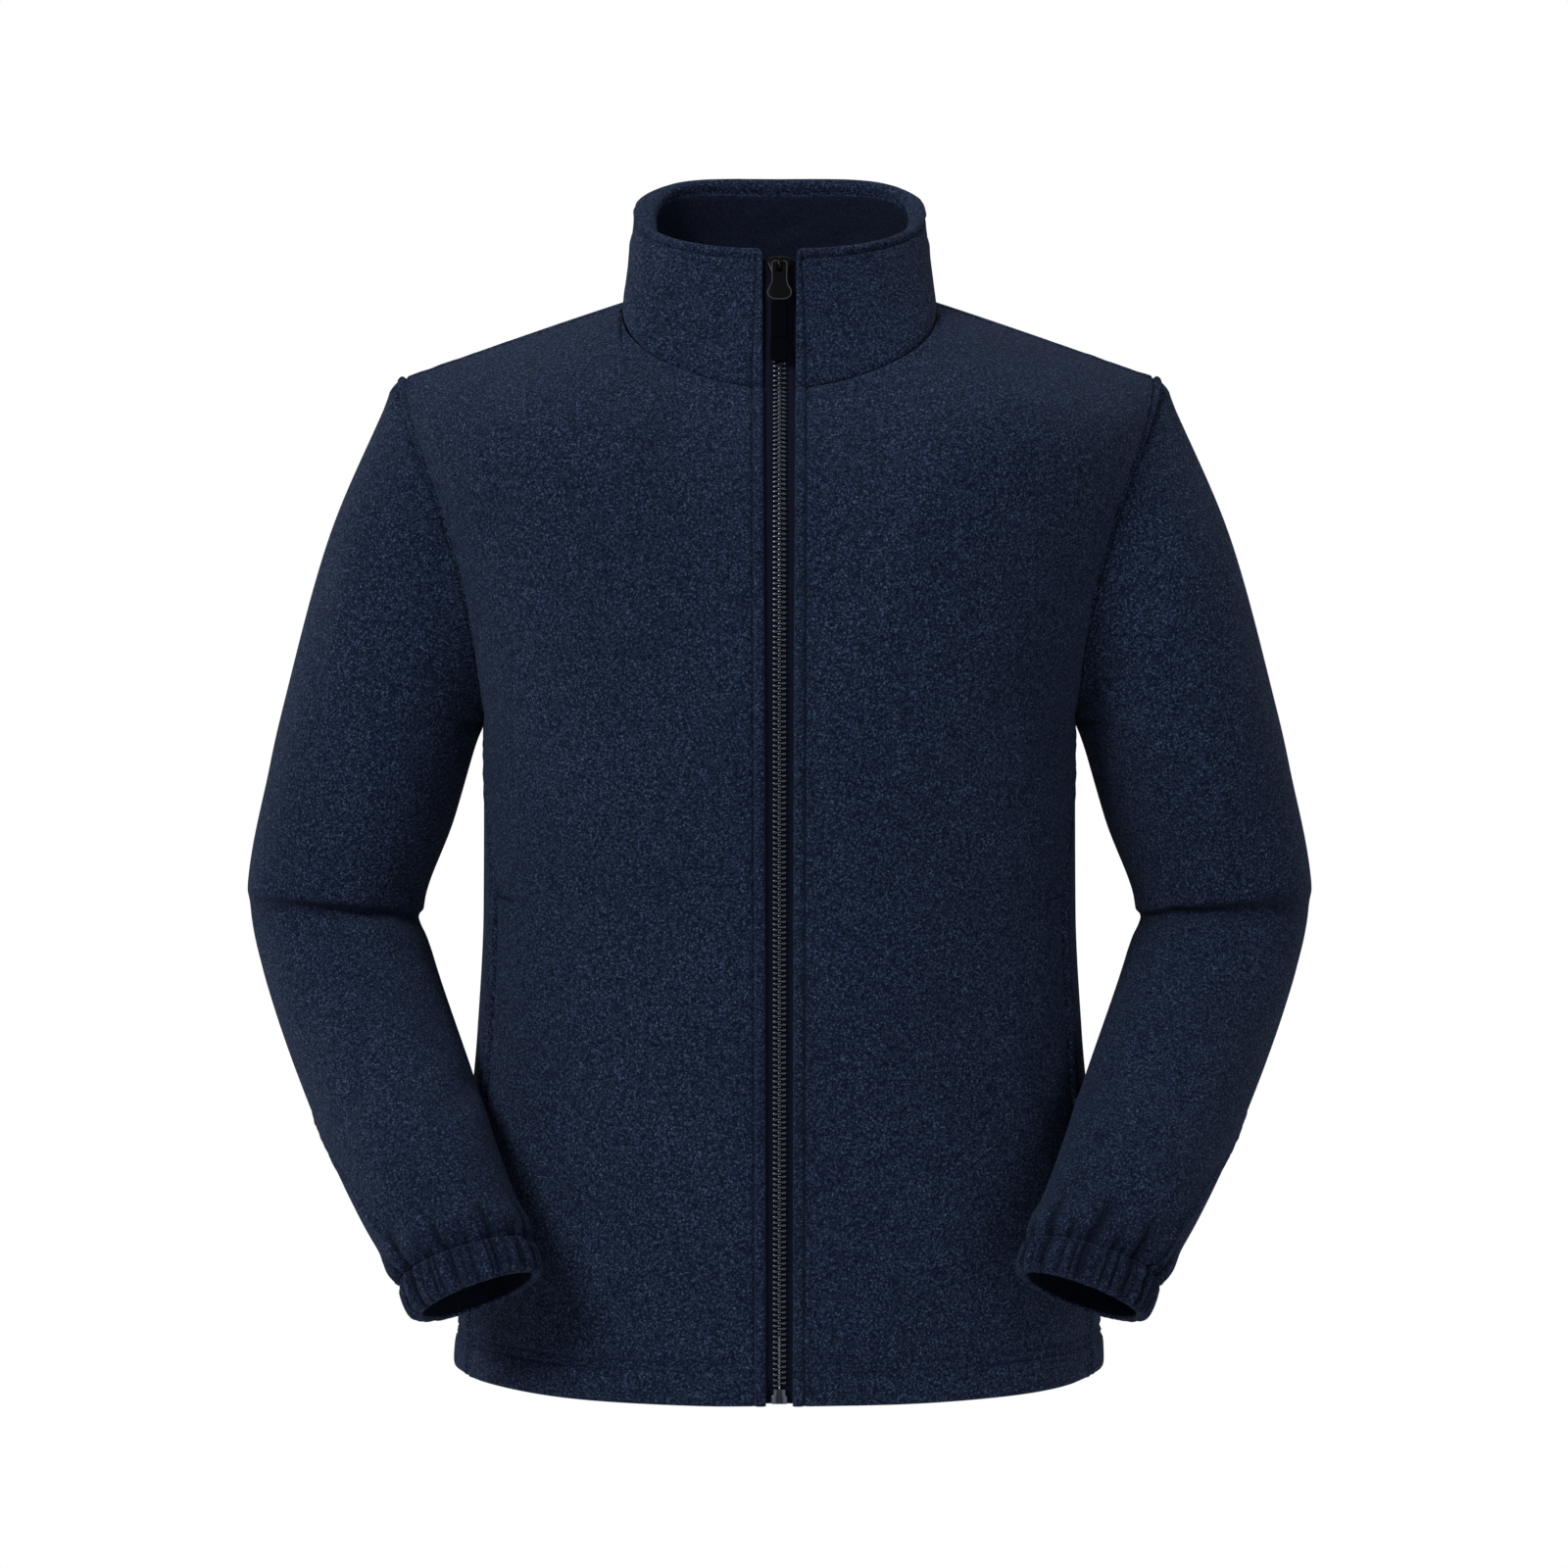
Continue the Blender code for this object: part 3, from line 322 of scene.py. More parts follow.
def layGrid(surface, columns, rows, step):
    # columns and rows each give marks, where a line must run, and near and far, metres in from both ends
    uGuide = np.linspace(columns["marks"][0], columns["marks"][-1], 181)
    vGuide = np.linspace(rows["marks"][0], rows["marks"][-1], 241)
    vGrid, uGrid = np.meshgrid(vGuide, uGuide, indexing="ij")
    run = runAlong(surface(uGrid, vGrid), 0).T
    counts = countSteps(run, vGuide, rows["marks"], rows["near"], rows["far"], step)
    v = np.stack([layLines(line, vGuide, rows["marks"], counts, rows["near"], rows["far"])
                  for line in run], axis=1)
    run = runAlong(surface(np.broadcast_to(uGuide, v.shape), v), 1)
    counts = countSteps(run, uGuide, columns["marks"], columns["near"], columns["far"], step)
    u = np.stack([layLines(line, uGuide, columns["marks"], counts, columns["near"], columns["far"])
                  for line in run])
    v = np.stack([np.interp(u[i], uGuide, v[i]) for i in range(len(u))])
    return surface(u, v), u, v


def normalsOf(points, wrap, middle):
    if wrap:
        across = np.roll(points, -1, axis=1) - np.roll(points, 1, axis=1)
    else:
        across = np.gradient(points, axis=1)
    out = unit(np.cross(across, np.gradient(points, axis=0)))
    return out if ((points - middle) * out).sum() > 0 else -out


# relief: what sewing and wearing do to the cloth, in metres along its normal

def groove(distance, at, width, depth):
    return -depth * np.exp(-((distance - at) / width) ** 2)


def rolledEdge(distance, radius, depth):
    left = np.clip(1 - distance / radius, 0, 1)
    return -depth * (1 - np.sqrt(1 - left**2))


def raisedBand(distance, low, high, height):  # a band that stands up between two lines
    s = np.clip((distance - low) / (high - low), 0, 1)
    return height * (1 - (2 * s - 1) ** 4) * ((distance > low) & (distance < high))


def uneven(run, phase):  # a slow irregular wave, between about -1 and 1
    return (0.5 * np.sin(run / 0.0031 + phase) + 0.3 * np.sin(run / 0.0019 + 2.3 * phase)
            + 0.4 * np.sin(run / 0.0067 + 0.7 * phase))


def puckers(distance, at, run, phase, height=0.00022, reach=0.0060):
    return height * uneven(run, phase) * np.exp(-((distance - at) / reach) ** 2)


def creases(across, along, rows, wrapAt=None):
    total = np.zeros(np.broadcast(across, along).shape)
    for x1, z1, x2, z2, width, depth in zip(*rows.values()):
        dx, dz = x2 - x1, z2 - z1
        length = math.hypot(dx, dz)
        px = across - x1
        if wrapAt:
            px = (px + wrapAt / 2) % wrapAt - wrapAt / 2
        t = (px * dx + (along - z1) * dz) / length**2
        off = (px * dz - (along - z1) * dx) / length
        taper = np.sin(np.pi * np.clip(t, 0, 1)) ** 0.8
        bent = off + 0.10 * length * (t - 0.5) ** 2
        ridge = 0.45 * np.exp(-((bent - 1.7 * width) / (1.3 * width)) ** 2)
        total -= depth * taper * (np.exp(-(bent / width) ** 2) - ridge)
    return total


# meshes

def makeObject(name, vertices, faces, material, smoothShade=True):
    mesh = bpy.data.meshes.new(name)
    mesh.from_pydata(np.asarray(vertices, float).tolist(), [], faces)
    mesh.validate()
    thing = bpy.data.objects.new(name, mesh)
    bpy.context.scene.collection.objects.link(thing)
    mesh.materials.append(material)
    if smoothShade:
        mesh.shade_smooth()
    return thing


def gridFaces(rows, columns, wrap, first=0):
    i, j = np.meshgrid(np.arange(rows - 1), np.arange(columns if wrap else columns - 1), indexing="ij")
    k = (j + 1) % columns
    corners = [i * columns + j, i * columns + k, (i + 1) * columns + k, (i + 1) * columns + j]
    return (np.stack(corners, axis=-1).reshape(-1, 4) + first)


def shell(name, outer, inner, material, wrap=False, inside=None, turned=0, crease=None):
    # a closed sheet between two grids; the last rows of the inside are the outer cloth, turned in
    rows, columns = outer.shape[:2]
    count = rows * columns
    faces = [gridFaces(rows, columns, wrap), gridFaces(rows, columns, wrap, count)[:, ::-1]]
    grid = np.arange(count).reshape(rows, columns)
    loops = [grid[0], grid[-1][::-1]] if wrap else [
        np.concatenate([grid[0], grid[1:, -1], grid[-1, -2::-1], grid[-2:0:-1, 0]])]
    for loop in loops:
        after = np.roll(loop, -1)
        faces.append(np.stack([loop, loop + count, after + count, after], axis=-1))
    vertices = np.concatenate([outer.reshape(-1, 3), inner.reshape(-1, 3)])
    thing = makeObject(name, vertices, np.concatenate(faces).tolist(), material)
    # inner faces take the darker inside fleece, whose colour is painted shade inside the collar, sleeves and
    # cuffs
    if inside:
        thing.data.materials.append(inside)
        slots = np.zeros(len(thing.data.polygons), int)
        slots[len(faces[0]):2 * len(faces[0]) - turned * (len(faces[0]) // (rows - 1))] = 1
        thing.data.polygons.foreach_set("material_index", slots)
    if crease is not None:  # painted shade: how deep in a crease each point of the outside lies, 0 to 1; the fleece darkens its colour there
        layer = thing.data.attributes.new("crease", "FLOAT", "POINT")
        layer.data.foreach_set("value", np.concatenate([np.clip(crease, 0, 1).ravel(), np.zeros(count)]))
    fixNormals(thing)
    return thing


def fixNormals(thing):
    build = bmesh.new()
    build.from_mesh(thing.data)
    bmesh.ops.recalc_face_normals(build, faces=build.faces)
    build.to_mesh(thing.data)
    build.free()


def mirrored(grid, side):
    return grid * np.array([side, 1.0, 1.0])


def place(thing, bodyName, slotName, *nodes):
    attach(thing, bodyName)
    if nodes:
        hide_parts(*nodes)
    return thing


# materials

class Signal:  # wraps a node's output so that plain arithmetic adds Math nodes
    def __init__(self, finish, socket):
        self.finish, self.socket = finish, socket

    def math(self, operation, *values):
        return self.finish.node("ShaderNodeMath", {"operation": operation}, dict(enumerate(values)))

    def __add__(self, other):
        return self.math("ADD", self, other)

    def __radd__(self, other):
        return self.math("ADD", other, self)

    def __sub__(self, other):
        return self.math("SUBTRACT", self, other)

    def __rsub__(self, other):
        return self.math("SUBTRACT", other, self)

    def __mul__(self, other):
        return self.math("MULTIPLY", self, other)

    def __rmul__(self, other):
        return self.math("MULTIPLY", other, self)

    def __truediv__(self, other):
        return self.math("DIVIDE", self, other)


class Finish:  # a material under construction
    def __init__(self, name, **shaderValues):
        self.material = bpy.data.materials.new(name)
        self.material.use_nodes = True
        self.tree = self.material.node_tree
        self.shader = self.tree.nodes["Principled BSDF"]
        self.feed(self.shader, shaderValues)

    def feed(self, node, inputs):
        for key, value in inputs.items():
            socket = node.inputs[key]
            if isinstance(value, Signal):
                self.tree.links.new(value.socket, socket)
            else:
                socket.default_value = value

    def node(self, kind, settings=None, inputs=None, output=0):
        made = self.tree.nodes.new(kind)
        for key, value in (settings or {}).items():
            if key == "stops":
                ramp = made.color_ramp.elements
                while len(ramp) < len(value):
                    ramp.new(0.5)
                for element, (position, colour) in zip(ramp, value):
                    element.position, element.color = position, (*colour, 1)
            else:
                setattr(made, key, value)
        self.feed(made, inputs or {})
        return Signal(self, made.outputs[output])

    def where(self):
        return self.node("ShaderNodeTexCoord", output="Object")

    def noise(self, scale, detail=2.0, roughness=0.5, vector=None):
        inputs = {"Scale": scale, "Detail": detail, "Roughness": roughness, "Vector": vector or self.where()}
        return self.node("ShaderNodeTexNoise", {"noise_dimensions": "3D"}, inputs)

    def cells(self, scale, feature="F1", vector=None, randomness=1.0):
        inputs = {"Scale": scale, "Randomness": randomness, "Vector": vector or self.where()}
        return self.node("ShaderNodeTexVoronoi", {"feature": feature}, inputs, output="Distance")

    def between(self, signal, low, high, start=0.0, end=1.0):
        inputs = {"Value": signal, "From Min": low, "From Max": high, "To Min": start, "To Max": end}
        return self.node("ShaderNodeMapRange", {"clamp": True}, inputs)

    def blend(self, share, first, second):
        inputs = {0: share, 6: self.colour(first), 7: self.colour(second)}
        return self.node("ShaderNodeMix", {"data_type": "RGBA"}, inputs, output=2)

    def colour(self, value):
        return value if isinstance(value, Signal) else (*value, 1)

    def bump(self, height, strength, distance, under=None):
        inputs = {"Height": height, "Strength": strength, "Distance": distance}
        if under:
            inputs["Normal"] = under
        return self.node("ShaderNodeBump", None, inputs)

    def wear(self, **signals):
        self.feed(self.shader, {name.replace("_", " "): value for name, value in signals.items()})
        return self.material


fleeceLook = dict(
    curl=600.0, fine=1500.0, clump=230.0, cloud=9.0,  # per metre: curls, fuzz, tufts and slow shade
    strand=0.085,  # how wide a curl is, as a share of its noise
    pit=(0.0012, 0.0028, 0.0085), nap=(0.0088, 0.0160, 0.0380), tip=(0.0590, 0.0850, 0.1530), shade=0.20,
    bumpStrength=1.0, bumpDepth=0.0009, sheen=0.05, sheenRough=0.45, rough=0.95)
# the inner side of the fleece: smoother, and its darker colour is painted shade for the hollows of the
# collar, sleeves and cuffs
insidePaintedShadeLook = dict(fleeceLook, pit=(0.0020, 0.0032, 0.0080), nap=(0.0046, 0.0072, 0.0170),
                  tip=(0.0088, 0.0120, 0.0250), bumpStrength=0.6, bumpDepth=0.0006, sheen=0.02)


def fleece(name, look):
    f = look
    finish = Finish(name, **{"Sheen Weight": f["sheen"], "Sheen Roughness": f["sheenRough"],
                             "Sheen Tint": (0.45, 0.60, 1.0, 1), "Specular IOR Level": 0.06})
    here = finish.where()
    push = finish.noise(f["curl"] * 0.8, 1.0, 0.5, here)
    wander = finish.node("ShaderNodeVectorMath", {"operation": "SCALE"}, {0: push, "Scale": 0.0010})
    bent = finish.node("ShaderNodeVectorMath", {"operation": "ADD"}, {0: here, 1: wander})
    offMiddle = finish.noise(f["curl"], 0.6, 0.5, bent) - 0.5
    apart = finish.node("ShaderNodeMath", {"operation": "ABSOLUTE"}, {0: offMiddle})
    curls = finish.between(apart, 0.0, f["strand"], 1.0, 0.0)
    specks = finish.between(finish.cells(f["curl"], "F1", bent), 0.15, 0.75, 1.0, 0.0)
    fuzz = finish.between(finish.noise(f["fine"], 2.0, 0.6, here), 0.34, 0.68)
    tufts = finish.noise(f["clump"], 1.0, 0.5, here)
    height = curls * 0.34 + specks * 0.36 + fuzz * 0.24 + tufts * 0.06
    dark = finish.blend(finish.between(height, 0.12, 0.46), f["pit"], f["nap"])
    light = finish.blend(finish.between(height, 0.46, 0.84), dark, f["tip"])
    cloud = finish.noise(f["cloud"], 2.0, 0.5, here)
    shaded = finish.blend(finish.between(cloud, 0.35, 0.68, 0.0, f["shade"]), light, f["pit"])
    # painted shade: the creases, gathers and the elbow's fold, read from a mesh attribute, darken the colour
    # toward pit
    crease = finish.node("ShaderNodeAttribute", {"attribute_name": "crease"}, output="Fac")
    shaded = finish.blend(crease * 0.8, shaded, f["pit"])
    rough = finish.between(height, 0.0, 1.0, 0.98, f["rough"] - 0.07)
    return finish.wear(Base_Color=shaded, Roughness=rough,
                       Normal=finish.bump(height, f["bumpStrength"], f["bumpDepth"]))


threadLook = dict(colour=(0.0034, 0.0064, 0.0170), light=(0.0080, 0.0130, 0.0290), twist=2600.0)


def thread():
    t = threadLook
    finish = Finish("navy thread", **{"Specular IOR Level": 0.05})
    strands = finish.between(finish.noise(t["twist"], 2.0, 0.5), 0.35, 0.65)
    return finish.wear(Base_Color=finish.blend(strands * 0.6, t["colour"], t["light"]),
                       Roughness=0.62 - strands * 0.1, Normal=finish.bump(strands, 0.4, 0.0001))


tapeLook = dict(base=(0.0032, 0.0038, 0.0095), raised=(0.0082, 0.0092, 0.0210), rib=0.00075)


def tapeWeave():
    t = tapeLook
    finish = Finish("woven zip tape", **{"Specular IOR Level": 0.03})
    here = finish.node("ShaderNodeSeparateXYZ", None, {0: finish.where()}, output="X")
    split = here.socket.node
    up = Signal(finish, split.outputs["Z"])
    slant = (up + here * 0.6) * (2 * math.pi / t["rib"])
    wale = finish.node("ShaderNodeMath", {"operation": "SINE"}, {0: slant})
    rows = finish.node("ShaderNodeMath", {"operation": "SINE"}, {0: here * (2 * math.pi / (t["rib"] * 1.1))})
    height = finish.between(wale * 0.6 + rows * 0.4, -0.9, 0.9)
    fuzz = finish.noise(1500.0, 2.0, 0.6)
    colour = finish.blend(height * 0.8 * finish.between(fuzz, 0.2, 0.8, 0.6, 1.0), t["base"], t["raised"])
    return finish.wear(Base_Color=colour, Roughness=0.85 - height * 0.12,
                       Normal=finish.bump(height, 0.6, 0.0002))


def mouldedPlastic(name, base, light, rough, grain=900.0):
    finish = Finish(name, **{"Specular IOR Level": 1.0, "Specular Tint": (0.76, 0.85, 1.0, 1)})
    mottle = finish.noise(grain, 3.0, 0.6)
    rub = finish.between(finish.noise(60.0, 2.0, 0.5), 0.45, 0.75)
    colour = finish.blend(finish.between(mottle, 0.35, 0.75, 0.0, 0.5) + rub * 0.2, base, light)
    return finish.wear(Base_Color=colour,
                       Roughness=finish.between(mottle, 0.3, 0.7, rough + 0.08, rough - 0.05),
                       Normal=finish.bump(mottle, 0.12, 0.0001))


def enamel(name, base):
    finish = Finish(name, **{"Specular IOR Level": 0.04, "Coat Roughness": 0.14})
    speck = finish.noise(1400.0, 3.0, 0.6)
    worn = finish.between(finish.noise(240.0, 4.0, 0.7), 0.66, 0.74)
    colour = finish.blend(worn * 0.5, base, (0.070, 0.070, 0.074))
    return finish.wear(Base_Color=colour, Roughness=finish.between(speck, 0.3, 0.7, 0.36, 0.24),
                       Metallic=worn * 0.4, Coat_Weight=0.05 - worn * 0.03,
                       Normal=finish.bump(speck, 0.08, 0.00005))


def blackRubber():
    finish = Finish("black rubber", **{"Specular IOR Level": 0.0})
    grain = finish.cells(1500.0, "F1")
    dust = finish.between(finish.noise(110.0, 3.0, 0.6), 0.5, 0.8)
    colour = finish.blend(dust * 0.22, (0.0016, 0.0018, 0.0030), (0.0060, 0.0062, 0.0080))
    return finish.wear(Base_Color=colour, Roughness=finish.between(dust, 0.0, 1.0, 0.52, 0.7),
                       Normal=finish.bump(grain, 0.15, 0.0001))


materials = dict(
    fleece=fleece("navy fleece", fleeceLook), inside=fleece("navy fleece, inner side with painted shade", insidePaintedShadeLook),
    thread=thread(), tape=tapeWeave(),
    teeth=mouldedPlastic("moulded zip teeth", (0.0030, 0.0036, 0.0075), (0.012, 0.014, 0.024), 0.13),
    metal=enamel("black enamelled metal", (0.0030, 0.0030, 0.0036)),
    # edge: a lighter enamel for the bead on the pull's rim, a painted highlight
    edge=enamel("enamel with a painted highlight at the edge", (0.046, 0.047, 0.054)), rubber=blackRubber())
print("materials made")


# stitches

stitchSize = dict(length=2.7 * mm, gap=0.8 * mm, half=0.34 * mm, sink=0.10 * mm, sides=6)


def capsule(sides):  # a stitch along x, from -0.5 to 0.5, thin at its ends
    stations = [(-0.5, 0.35), (-0.40, 0.85), (0.0, 1.0), (0.40, 0.85), (0.5, 0.35)]
    turn = np.arange(sides) * 2 * np.pi / sides
    rings = np.array([[(x, r * math.cos(a), r * math.sin(a)) for a in turn] for x, r in stations])
    dip = (rings[..., 0] / 0.5) ** 2
    rings[..., 2] -= dip * 1.3
    faces = [tuple(face) for face in gridFaces(len(stations), sides, True)]
    last = (len(stations) - 1) * sides
    faces += [tuple(range(sides))[::-1], tuple(range(last, last + sides))]
    return rings.reshape(-1, 3), faces


def resample(points, extras, spacing):
    run = runAlong(points, 0)
    count = max(2, int(run[-1] / spacing))
    at = (np.arange(count) + 0.5) * run[-1] / count
    pick = [np.stack([np.interp(at, run, values[:, k]) for k in range(3)], axis=-1)
            for values in (points, *extras)]
    return pick


class Sewing:  # gathers the stitches of one piece into one mesh
    def __init__(self, name):
        self.name, self.rows, self.faces, self.count = name, [], [], 0

    def seam(self, points, out, size=None, width=1.0):
        s = dict(stitchSize, **(size or {}))
        spots, up = resample(points, [out], s["length"] + s["gap"])
        forward = unit(np.gradient(spots, axis=0))
        up = unit(up - (up * forward).sum(axis=-1, keepdims=True) * forward)
        side = np.cross(up, forward)
        base, faces = capsule(s["sides"])
        size3 = np.array([s["length"], s["half"] * width, s["half"]])
        local = base * size3
        placed = (spots[:, None] + local[None, :, 0, None] * forward[:, None]
                  + local[None, :, 1, None] * side[:, None]
                  + (local[None, :, 2, None] + s["half"] - s["sink"]) * up[:, None])
        for ring in placed:
            self.rows.append(ring)
            self.faces += [tuple(i + self.count for i in face) for face in faces]
            self.count += len(ring)

    def sew(self, bodyName="jacket", slotName="fleece", material=None):
        thing = makeObject(self.name, np.concatenate(self.rows), self.faces, material or materials["thread"])
        fixNormals(thing)
        return place(thing, bodyName, slotName)


# fronts and back

panel = dict(
    cloth=2.5 * mm, hemTurned=1.0 * mm, step=3.6 * mm,
    zipStitch=7.0 * mm, hemStitches=(20.0 * mm, 25.6 * mm), armStitch=6.2 * mm, pocketStitch=9.0 * mm,
    shoulderStitch=4.5 * mm, pocketTop=-0.374, pocketFoot=-0.540, bartack=24.0 * mm)

panelEdges = dict(
    zip=[d * mm for d in (0, 0.35, 1.0, 2.2, 4.0, 5.4, 6.2, 6.7, 7.0, 7.3, 7.8, 8.6, 10.0, 12.0, 14.5)],
    side=[d * mm for d in (0, 0.4, 1.0, 1.9, 3.2, 4.6, 5.5, 6.2, 6.9, 7.6, 8.3, 9.0, 9.7, 10.6, 12.0, 14.0)],
    hem=[d * mm for d in (0, 0.5, 1.4, 3.0, 6, 10, 14, 17.5, 19.2, 20.0, 20.8, 22.8, 24.8, 25.6, 26.4,
                          28.2, 31)],
    top=[d * mm for d in (0, 0.4, 1.0, 1.9, 3.0, 3.7, 4.3, 5.0, 6.0, 7.6, 10.0)])

# soft troughs, from (x1, z1) to (x2, z2) as seen from the front, on each side of the zip
frontCreases = {
    1: table("x1 z1 x2 z2 width depth", [
        (0.168, -0.225, 0.105, -0.300, 0.0085, 0.0016), (0.176, -0.262, 0.135, -0.352, 0.0070, 0.0012),
        (0.150, -0.120, 0.192, -0.205, 0.0100, 0.0013), (0.020, -0.520, 0.118, -0.640, 0.0170, 0.0022),
        (0.052, -0.468, 0.150, -0.596, 0.0140, 0.0015), (0.030, -0.395, 0.120, -0.430, 0.0150, 0.0010),
        (0.070, -0.030, 0.120, -0.085, 0.0090, 0.0010), (0.150, -0.440, 0.186, -0.560, 0.0110, 0.0016)]),
    -1: table("x1 z1 x2 z2 width depth", [
        (0.172, -0.215, 0.118, -0.286, 0.0090, 0.0015), (0.180, -0.258, 0.128, -0.330, 0.0065, 0.0013),
        (0.158, -0.110, 0.190, -0.190, 0.0100, 0.0012), (0.030, -0.545, 0.110, -0.600, 0.0190, 0.0016),
        (0.040, -0.360, 0.150, -0.388, 0.0160, 0.0010), (0.120, -0.500, 0.172, -0.640, 0.0130, 0.0014),
        (0.066, -0.040, 0.108, -0.096, 0.0100, 0.0011), (0.050, -0.180, 0.130, -0.205, 0.0180, 0.0009)])}

backCreases = table("x1 z1 x2 z2 width depth", [
    (0.180, -0.190, 0.085, -0.275, 0.0110, 0.0022), (-0.182, -0.200, -0.100, -0.262, 0.0100, 0.0024),
    (0.185, -0.262, 0.110, -0.370, 0.0090, 0.0017), (-0.184, -0.252, -0.095, -0.350, 0.0095, 0.0015),
    (0.120, -0.395, -0.060, -0.430, 0.0150, 0.0016), (-0.130, -0.455, 0.040, -0.490, 0.0140, 0.0014),
    (-0.040, -0.055, 0.030, -0.150, 0.0140, 0.0010), (0.100, -0.540, 0.150, -0.655, 0.0150, 0.0016),
    (-0.090, -0.560, -0.150, -0.650, 0.0160, 0.0014), (0.010, -0.235, -0.070, -0.330, 0.0180, 0.0010)])


def layPanel(face):
    columns = dict(marks=[0, body["neckShare"], 1], near=panelEdges["zip"] if face < 0 else [0.0],
                   far=panelEdges["side"])
    rows = dict(marks=[0, 0.5, 1], near=panelEdges["hem"], far=panelEdges["top"])
    points, u, v = layGrid(lambda a, b: halfPanel(a, b, face), columns, rows, panel["step"])
    out = normalsOf(points, False, np.array([0.0, 0.0, -0.35]))
    fromZip, fromHem = runAlong(points, 1), runAlong(points, 0)
    toSide, toTop = fromZip[:, -1:] - fromZip, fromHem[-1:] - fromHem
    return dict(points=points, out=out, u=u, v=v, fromZip=fromZip, toSide=toSide, fromHem=fromHem,
                toTop=toTop)


def hemRelief(g, phase):
    low, high = panel["hemStitches"]
    puff = 1.3 * mm * easeBetween(g["toSide"], 2 * mm, 30 * mm)
    relief = rolledEdge(g["fromHem"], 2.2 * mm, 1.3 * mm) + raisedBand(g["fromHem"], 0.0, low, puff)
    for at in (low, high):
        relief += groove(g["fromHem"], at, 1.1 * mm, 1.35 * mm)
        relief += puckers(g["fromHem"], at, g["fromZip"], phase + at * 900, 0.00032)
    wave = 0.0011 * (np.sin(g["fromZip"] / 0.031 + phase) + 0.6 * np.sin(g["fromZip"] / 0.017 + 1.7 * phase))
    return relief, wave * np.exp(-g["fromHem"] / 0.030) * easeBetween(g["toSide"], 0.0, 0.030)


def sideRelief(g, phase):  # the side seam, and the armhole above it
    arm = easeBetween(g["points"][..., 2], body["underarmZ"] - 0.006, body["underarmZ"] + 0.006)
    dip = np.exp(-g["toSide"] / (1.7 * mm))
    relief = -dip * (1.5 * mm + 0.5 * mm * arm)
    relief += arm * (raisedBand(g["toSide"], 0.5 * mm, panel["armStitch"], 1.5 * mm)
                     + groove(g["toSide"], panel["armStitch"], 1.1 * mm, 1.2 * mm))
    relief += (1 - arm) * groove(g["toSide"], 4.5 * mm, 2.2 * mm, -0.8 * mm)
    return relief + puckers(g["toSide"], 3 * mm, g["fromHem"], phase, 0.00045, 0.0075)


def topRelief(g, phase):  # the neck seam, and past the neck's corner the shoulder seam
    shoulder = easeBetween(g["u"], body["neckShare"] - 0.03, body["neckShare"] + 0.03)
    relief = -np.exp(-g["toTop"] / (1.6 * mm)) * (1.8 * mm - 0.9 * mm * shoulder)
    relief += shoulder * (groove(g["toTop"], panel["shoulderStitch"], 0.9 * mm, 0.7 * mm)
                          + raisedBand(g["toTop"], 0.5 * mm, panel["shoulderStitch"], 0.6 * mm))
    return relief + puckers(g["toTop"], 3 * mm, g["fromZip"], phase, 0.00025, 0.0070)


def zipRelief(g, phase):
    relief = rolledEdge(g["fromZip"], 2.0 * mm, 1.5 * mm)
    relief += raisedBand(g["fromZip"], 0.0, panel["zipStitch"], 1.2 * mm)
    relief += groove(g["fromZip"], panel["zipStitch"], 1.15 * mm, 1.5 * mm)
    return relief + puckers(g["fromZip"], panel["zipStitch"], g["fromHem"], phase, 0.00042, 0.0050)


def pocketRelief(g):
    z = g["points"][..., 2]
    mouth = easeBetween(z, panel["pocketFoot"], panel["pocketFoot"] + 0.006) * (
        1 - easeBetween(z, panel["pocketTop"] - 0.001, panel["pocketTop"] + 0.002))
    relief = mouth * (raisedBand(g["toSide"], 0.0, panel["pocketStitch"], 1.2 * mm)
                      + groove(g["toSide"], panel["pocketStitch"], 1.2 * mm, 1.45 * mm))
    across = ((g["toSide"] > 1 * mm) & (g["toSide"] < panel["pocketStitch"] + panel["bartack"])).astype(float)
    return relief - 1.3 * mm * across * np.exp(-((z - panel["pocketTop"]) / (1.6 * mm)) ** 2)


def clothBetween(g, sewn, worn, thickness):
    outer = g["points"] + g["out"] * (sewn + worn)[..., None]
    inner = g["points"] - g["out"] * (thickness - worn)[..., None]
    return outer, inner


def nearestColumn(g, key, distance):
    return int(np.argmin(np.abs(g[key].mean(axis=0) - distance)))


def columnBefore(side, distance, within=None):  # side: each column's distance to the side seam
    return len(side) - 1 - int(np.argmin(np.abs(side[::-1][:within] - distance)))


def rowAt(g, key, distance):
    return int(np.argmin(np.abs(g[key].mean(axis=1) - distance)))


